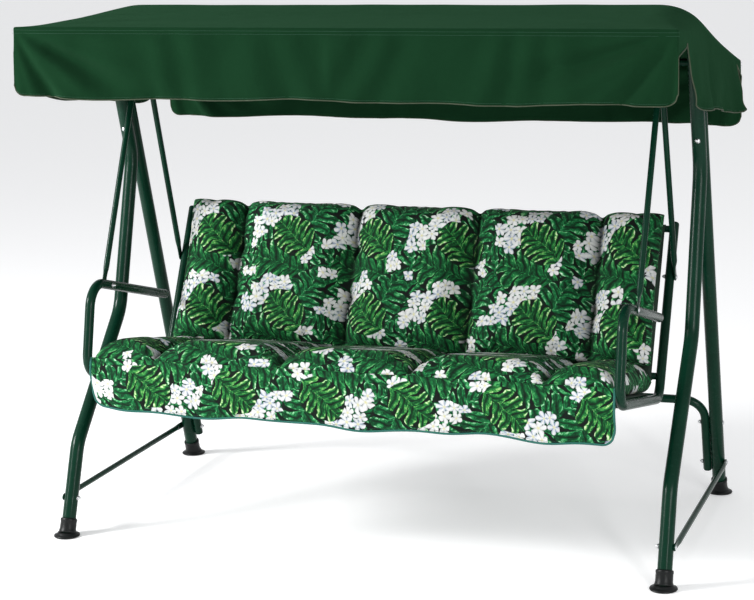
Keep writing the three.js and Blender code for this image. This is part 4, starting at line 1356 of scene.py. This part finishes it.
def corner_folds(from_corner, below, seed):
    """Soft folds that fan out of a top corner across the hanging cloth."""
    reach = math.hypot(from_corner, below)
    turn = math.atan2(below, from_corner + 0.01)
    rise = min(reach / 0.09, 1.0) * math.exp(-(reach / 0.52) ** 2)
    wave = math.sin(11.0 * turn + seed) + 0.55 * math.sin(23.0 * turn + 1.7 * seed + 2.5 * reach)
    return 0.0260 * rise * wave


def valance_point(x, down, drop, end, s):
    """The front (s -1) or rear (s 1) valance, with rounded lower corners."""
    y, z = end
    sag = 0.004 * math.sin(x * 5.3 + s) + 0.003 * math.sin(x * 13)
    round_end = max(0.0, (abs(x) - (CORNER_X - 0.042)) / 0.042)
    raised = 0.036 * (1 - math.sqrt(max(0.0, 1 - round_end * round_end)))
    near_end = 1 - (abs(x) / CORNER_X) ** 14
    below = drop * down
    folds = corner_folds(CORNER_X + x, below, 0.6 + s) + corner_folds(CORNER_X - x, below, 2.3 + s)
    slant = noise.noise(Vector((5.2 * x + 3.0 * below, 2.2 * below, 3.1 * s)))
    gathered = 0.5 + noise.noise(Vector((2.6 * x, 0.4, 7.7 * s)))
    drift = 5 * noise.noise(Vector((3 * x, 2 * below, s)))
    slant += 0.60 * gathered * math.sin(38 * x + math.copysign(13, x) * below + drift)
    stands = 0.010 * down + near_end * (0.6 * ripple(x, down, 1.3 if s < 0 else 4.1)
                                        + min(1.0, 5 * down) * (folds + 0.014 * slant))
    puckers = 0.0016 * math.sin(118 * x + 4 * math.sin(7 * x)) * max(0.0, (down - 0.80) / 0.20)
    length = drop + sag * down - raised * down ** 6
    return at(x, y + s * (stands + puckers), z - length * down)


def side_drop(y, drop):
    """The side flap hangs a little less far towards its rear end."""
    return drop + 0.022 - 0.050 * min(1.0, max(0.0, (y - CANOPY_FRONT[0]) / 1.15))


def flap_side_point(s, y, down, drop):
    edge_x, edge_z = edge_place(y)
    out = 0.034 * down + 1.5 * ripple(1.6 * y, down, 2.2 + s)
    return at(s * (edge_x + out), y, edge_z - side_drop(y, drop) * down)


SLIT_TOP = 0.14  # share of the drop where the corner slits begin
FRONT_SLIT_Y, REAR_SLIT_Y = -0.520, 0.480
STATIONS_Y = sorted({
    CANOPY_FRONT[0], -0.676, -0.650, -0.60, -0.56, FRONT_SLIT_Y, -0.49, -0.45, -0.40, -0.34, -0.28, -0.22,
    -0.17, -0.125, -0.09, -0.06, PIVOT_Y, -0.015, 0.015, 0.05, 0.09, 0.14, 0.20, 0.26, 0.32, 0.38, 0.43,
    0.46, REAR_SLIT_Y, 0.51, 0.54, 0.565, 0.580, CANOPY_REAR[0]})
DOWNS = (0, 0.045, 0.09, SLIT_TOP, 0.20, 0.28, 0.36, 0.44, 0.52, 0.60, 0.68, 0.76, 0.84, 0.91, 0.96, 1.0)
EAVES = (0.12, 0.24, 0.36, 0.48, 0.60, 0.70, 0.79, 0.86, 0.92, 0.965, 1.0)


def eased(value):
    value = min(1.0, max(0.0, value))
    return value * value * (3 - 2 * value)


def corner_wrap(s, y, down, drop, end, slit_y, valance_s):
    """The end of a front or rear valance that wraps round the corner and hangs back to it below the slit."""
    share = (y - end[0]) / (slit_y - end[0])
    share *= 1 - 0.985 * eased((down - SLIT_TOP) / 0.20)
    on_side = flap_side_point(s, end[0] + share * (slit_y - end[0]), down, drop)
    corner = flap_side_point(s, end[0], down, drop)
    on_front = valance_point(s * CORNER_X, down, drop, end, valance_s)
    return on_front + (on_side - corner) + (corner - on_front) * eased(share * 2.5)


def side_flap(s, y, down, drop):
    """The side flap between its two slits, whose free edges slant away from the corners."""
    open_share = eased((down - SLIT_TOP) / (1 - SLIT_TOP))
    near_front = max(0.0, 1 - (y - FRONT_SLIT_Y) / 0.30)
    near_rear = max(0.0, 1 - (REAR_SLIT_Y - y) / 0.25)
    moved = y + open_share * (0.105 * near_front - 0.055 * near_rear)
    made = flap_side_point(s, moved, down, drop)
    lifted = 0.020 * near_front ** 4 + 0.018 * near_rear ** 4
    return made + Vector((0, 0, lifted * max(0.0, down - 0.75) / 0.25))


def canopy_patches(drop):
    """Every sewn patch of the roof as rows of points; neighbours share their edge points exactly."""
    level = [-1 + i / 46 for i in range(1, 92)]
    us = [-(1 + e) for e in reversed(EAVES)] + [-1.0] + level + [1.0] + [1 + e for e in EAVES]
    patches = [[[roof_point(u, y) for u in us] for y in STATIONS_Y]]
    for end, s in ((CANOPY_FRONT, -1), (CANOPY_REAR, 1)):
        edge = [roof_point(u, end[0]) for u in us]
        hanging = [[valance_point(point.x, down, drop, end, s) for point in edge] for down in DOWNS[1:]]
        patches.append([edge, *hanging])
    for s in (-1, 1):
        for end, slit_y, valance_s in ((CANOPY_FRONT, FRONT_SLIT_Y, -1), (CANOPY_REAR, REAR_SLIT_Y, 1)):
            ys = [y for y in STATIONS_Y if (y - slit_y) * (end[0] - slit_y) >= 0]
            edge = [roof_point(2 * s, y) for y in ys]
            hanging = [[corner_wrap(s, y, down, drop, end, slit_y, valance_s) for y in ys]
                       for down in DOWNS[1:]]
            patches.append([edge, *hanging])
        ys = [y for y in STATIONS_Y if FRONT_SLIT_Y <= y <= REAR_SLIT_Y]
        rows = []
        for down in DOWNS:
            row = [roof_point(2 * s, y) if down == 0 else side_flap(s, y, down, drop) for y in ys]
            if down and down <= SLIT_TOP:
                row[0] = corner_wrap(s, ys[0], down, drop, CANOPY_FRONT, FRONT_SLIT_Y, -1)
                row[-1] = corner_wrap(s, ys[-1], down, drop, CANOPY_REAR, REAR_SLIT_Y, 1)
            rows.append(row)
        patches.append(rows)
    return patches


def sheet_of(name, patches, finish):
    vertices, faces = [], []
    for rows in patches:
        faces += grid_faces(len(rows[0]), len(rows), len(vertices))
        vertices += [p for row in rows for p in row]
    made = add_object(name, vertices, faces, finish)
    work = bmesh.new()
    work.from_mesh(made.data)
    bmesh.ops.remove_doubles(work, verts=work.verts, dist=2e-5)
    bmesh.ops.recalc_face_normals(work, faces=work.faces)
    top = max(work.faces, key=lambda face: face.calc_center_median().z)
    if top.normal.z < 0:
        bmesh.ops.reverse_faces(work, faces=work.faces)
    work.to_mesh(made.data)
    work.free()
    return made


def hem_lines(patches):
    """The free edges of the roof cloth: each valance's hem and the edges of the slits."""
    lines = []
    slit_row = DOWNS.index(SLIT_TOP)
    for rows in patches[1:]:
        lines.append(list(rows[-1]))
    for wrap_front, wrap_rear, flap in (patches[3:6], patches[6:9]):
        for rows, column in ((wrap_front, -1), (wrap_rear, 0), (flap, 0), (flap, -1)):
            lines.append([row[column] for row in rows[slit_row:]])
    return lines


def seam_lines(patches):
    """Lines of stitches: one beside each hem and two below each fold over the front and rear bars."""
    lines = [[p.lerp(q, 0.75) + away_from_middle(p) * 0.0004 for p, q in zip(rows[-1], rows[-2])]
             for rows in patches[1:]]
    for rows in patches[1:3]:
        lines += [[p + away_from_middle(p) * 0.0006 for p in rows[row]] for row in (1, 2)]
    return lines


def away_from_middle(point):
    """The direction out of the roof at a point of its hanging edge."""
    over_side = abs(point.x) - (CORNER_X - 0.004)
    if over_side > 0:
        return Vector((math.copysign(1, point.x), 0, 0))
    return Vector((0, math.copysign(1, point.y), 0))


class SWING_OT_canopy(bpy.types.Operator):
    """Shapes the roof cloth as one curved sheet and adds its tape and stitches"""
    bl_idname = "swing.canopy"
    bl_label = "Canopy cloth"

    def execute(self, context):
        settings = context.scene.swing_canopy
        patches = canopy_patches(settings.drop)
        cover = sheet_of("canopy_cover", patches, roof_cloth())
        thickened(cover, 0.0014, levels=1)
        valances = [f"canopy_valance_{side}" for side in ("front", "rear", "left", "right")]
        place(cover, "canopy", "canopy_cloth", "canopy_top", *valances)
        tape = grown("canopy_edge_tape", lines_object("hem_line", hem_lines(patches)),
                     cord_tree("edge_tape", piping_cloth()), {"Radius": 0.0021, "Spacing": 0.010})
        place(tape, "canopy", "canopy_cloth")
        stitches = grown("canopy_stitches", lines_object("seam_lines", seam_lines(patches)),
                         stitch_tree(thread()), {"Spacing": settings.stitch, "Thickness": 0.0010})
        place(stitches, "canopy", "canopy_cloth")
        return {"FINISHED"}


def arm_line(end):
    """The start direction, bar axis and ridge point, in depth and height, of the arms under the cloth."""
    edge, ridge = Vector(end), Vector((PIVOT_Y, RIDGE_Z))
    along = (edge - ridge).normalized()
    down = Vector((along.y, -along.x)) * math.copysign(1, along.x)
    return along, edge + down * ARM_DEPTH - along * (BAR_R + 0.001), ridge + down * ARM_DEPTH


# Outlines of the turned knob and its threaded shank, as radius and height.
KNOB_GRIP = (
    (0.004, 0.020), (0.0105, 0.0212), (0.0125, 0.0235), (0.0165, 0.0275), (0.0170, 0.031),
    (0.0170, 0.036), (0.0155, 0.0395), (0.0120, 0.0420), (0.006, 0.0428),
)
KNOB_SHANK = ((0.0035, 0.0005), (0.0068, 0.0008), (0.0068, 0.0055), (0.0039, 0.006), (0.0039, 0.021))
KNOB_HUB_R = 0.009
KNOB_LOBES = 6


class SWING_OT_canopy_frame(bpy.types.Operator):
    """Adds the two cross bars, the four arms and the clamps under the roof"""
    bl_idname = "swing.canopy_frame"
    bl_label = "Canopy frame"

    def execute(self, context):
        for half, end in (("front", CANOPY_FRONT), ("rear", CANOPY_REAR)):
            along, bar_at, ridge = arm_line(end)
            bar = tube(f"canopy_bar_{half}_tube", [at(s * BAR_HALF, *bar_at) for s in (-1, 1)], BAR_R)
            place(bar, "canopy", "green_steel", f"canopy_bar_{half}")
            for side, s in SIDES:
                start, stop = ridge + along * 0.0405, bar_at - along * (BAR_R + GAP)
                made = tube(f"canopy_arm_{half}_tube_{side}",
                            [at(s * CLAMP_X, *start), at(s * CLAMP_X, *stop)], BAR_R, dome=0.01)
                place(made, "canopy", "green_steel", f"canopy_arm_{half}_{side}")
        for side, s in SIDES:
            clamp = frame["nodes"][f"canopy_clamp_{side}"]
            clamp.data.materials.clear()
            clamp.data.materials.append(steel())
            self.knob(side)
        return {"FINISHED"}

    def knob(self, side):
        low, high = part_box(f"canopy_knob_{side}")
        middle = (low + high) / 2
        base = Vector((middle.x, high.y, middle.z))
        back = Vector((0, -1, 0))
        grip = lathe("grip", KNOB_GRIP, base, back, plastic(), 48)
        for vertex in grip.data.vertices:
            off = vertex.co - base
            if math.hypot(off.x, off.z) > KNOB_HUB_R:
                lobe = 0.5 + 0.5 * math.cos(KNOB_LOBES * math.atan2(off.z, off.x))
                pinch = 1 - 0.07 * lobe
                vertex.co = base + Vector((off.x * pinch, off.y, off.z * pinch))
        shank = lathe("shank", KNOB_SHANK, base, back, plastic(), 24)
        knob = joined(f"clamp_knob_{side}", grip, shank)
        place(knob, f"knob_{side}", "black_plastic", f"canopy_knob_{side}")


# ---------- the studio ----------
FLOOR_HALF = 60
FLOOR_Z = -0.001
LIT_POINT = Vector((0, 0, 0.9))
# Area lights: name, place, width, height and watts.
SOFTBOXES = (
    ("key", (-5.2, -2.9, 3.3), 1.2, 1.2, 400),
    ("fill", (4.6, -3.8, 2.6), 1.6, 1.6, 60),
    ("strip_left", (-4.0, -3.4, 1.6), 0.22, 3.4, 110),
    ("strip_right", (3.8, -4.6, 1.8), 0.22, 3.4, 110),
    ("top", (0.4, 0.6, 5.2), 3.2, 3.2, 10),
)
CAMERA_TURNS = (18.63, 9.08, -1.07)  # yaw, pitch and roll in degrees
CAMERA_PLACE = (2.294, -7.028, 2.286)
CAMERA_LENS = 98.72
CAMERA_SHIFT = -0.107


class SWING_OT_stage(bpy.types.Operator):
    """Lays the pale floor and sets the lights and the camera"""
    bl_idname = "swing.stage"
    bl_label = "Stage"

    def execute(self, context):
        corners = [(FLOOR_HALF * x, FLOOR_HALF * y, FLOOR_Z) for x, y in ((-1, -1), (1, -1), (1, 1), (-1, 1))]
        floor = add_object("floor", corners, [(0, 1, 2, 3)], None, smooth=False)
        pale, graph, shader, _ = new_material("pale_floor")
        finish_material(graph, shader, {"Base Color": (0.90, 0.90, 0.90, 1), "Roughness": 0.9,
                                        "Emission Color": (1, 1, 1, 1), "Emission Strength": 0.22,
                                        "Specular IOR Level": 0.1})
        floor.data.materials.append(pale)
        world = bpy.data.worlds.new("studio")
        world.use_nodes = True
        light = world.node_tree.nodes["Background"]
        light.inputs["Color"].default_value = (0.97, 0.98, 1.0, 1)
        light.inputs["Strength"].default_value = 0.65
        context.scene.world = world
        for softbox in SOFTBOXES:
            self.softbox(*softbox)
        self.camera(context)
        context.scene.view_settings.view_transform = "Standard"
        return {"FINISHED"}

    def softbox(self, name, where, width, height, watts):
        light = bpy.data.lights.new(name, "AREA")
        light.shape = "RECTANGLE"
        light.size = width
        light.size_y = height
        light.energy = watts
        made = bpy.data.objects.new(name, light)
        made.location = where
        made.rotation_euler = (LIT_POINT - Vector(where)).to_track_quat("-Z", "Y").to_euler()
        bpy.context.scene.collection.objects.link(made)

    def camera(self, context):
        yaw, pitch, roll = (math.radians(angle) for angle in CAMERA_TURNS)
        forward = Vector((-math.sin(yaw) * math.cos(pitch), math.cos(yaw) * math.cos(pitch),
                          -math.sin(pitch)))
        right = Vector((math.cos(yaw), math.sin(yaw), 0))
        up = right.cross(forward)
        turned_right = right * math.cos(roll) + up * math.sin(roll)
        turned_up = up * math.cos(roll) - right * math.sin(roll)
        stands = at(*CAMERA_PLACE)
        lens = bpy.data.cameras.new("camera")
        lens.sensor_width = 36
        lens.lens = CAMERA_LENS
        lens.shift_y = CAMERA_SHIFT
        made = bpy.data.objects.new("camera", lens)
        made.matrix_world = Matrix((
            (turned_right.x, turned_up.x, -forward.x, stands.x),
            (turned_right.y, turned_up.y, -forward.y, stands.y),
            (turned_right.z, turned_up.z, -forward.z, stands.z),
            (0, 0, 0, 1)))
        context.scene.collection.objects.link(made)
        context.scene.camera = made


class SWING_PT_panel(bpy.types.Panel):
    """Lists the steps that finish the swing bench"""
    bl_idname = "SWING_PT_panel"
    bl_label = "Swing Bench"
    bl_space_type = "VIEW_3D"
    bl_region_type = "UI"
    bl_category = "Swing Bench"

    def draw(self, context):
        for settings in (context.scene.swing_steel, context.scene.swing_cushions, context.scene.swing_canopy):
            for item in settings.bl_rna.properties:
                if item.identifier not in ("rna_type", "name"):
                    self.layout.prop(settings, item.identifier)
        for step in STEPS:
            self.layout.operator(step.bl_idname)


SETTINGS = {"swing_steel": SteelSettings, "swing_cushions": CushionSettings, "swing_canopy": CanopySettings}
STEPS = (
    SWING_OT_stand, SWING_OT_feet, SWING_OT_bench_frame, SWING_OT_bolts, SWING_OT_slings,
    SWING_OT_cushions, SWING_OT_flap, SWING_OT_canopy_frame, SWING_OT_canopy, SWING_OT_stage,
)


def register():
    for name, group in SETTINGS.items():
        bpy.utils.register_class(group)
        setattr(bpy.types.Scene, name, PointerProperty(type=group))
    for step in (*STEPS, SWING_PT_panel):
        bpy.utils.register_class(step)


def unregister():
    for step in (SWING_PT_panel, *reversed(STEPS)):
        bpy.utils.unregister_class(step)
    for name, group in SETTINGS.items():
        delattr(bpy.types.Scene, name)
        bpy.utils.unregister_class(group)


def main():
    register()
    for step in STEPS:
        area, action = step.bl_idname.split(".")
        getattr(getattr(bpy.ops, area), action)()


if __name__ == "__main__":
    main()
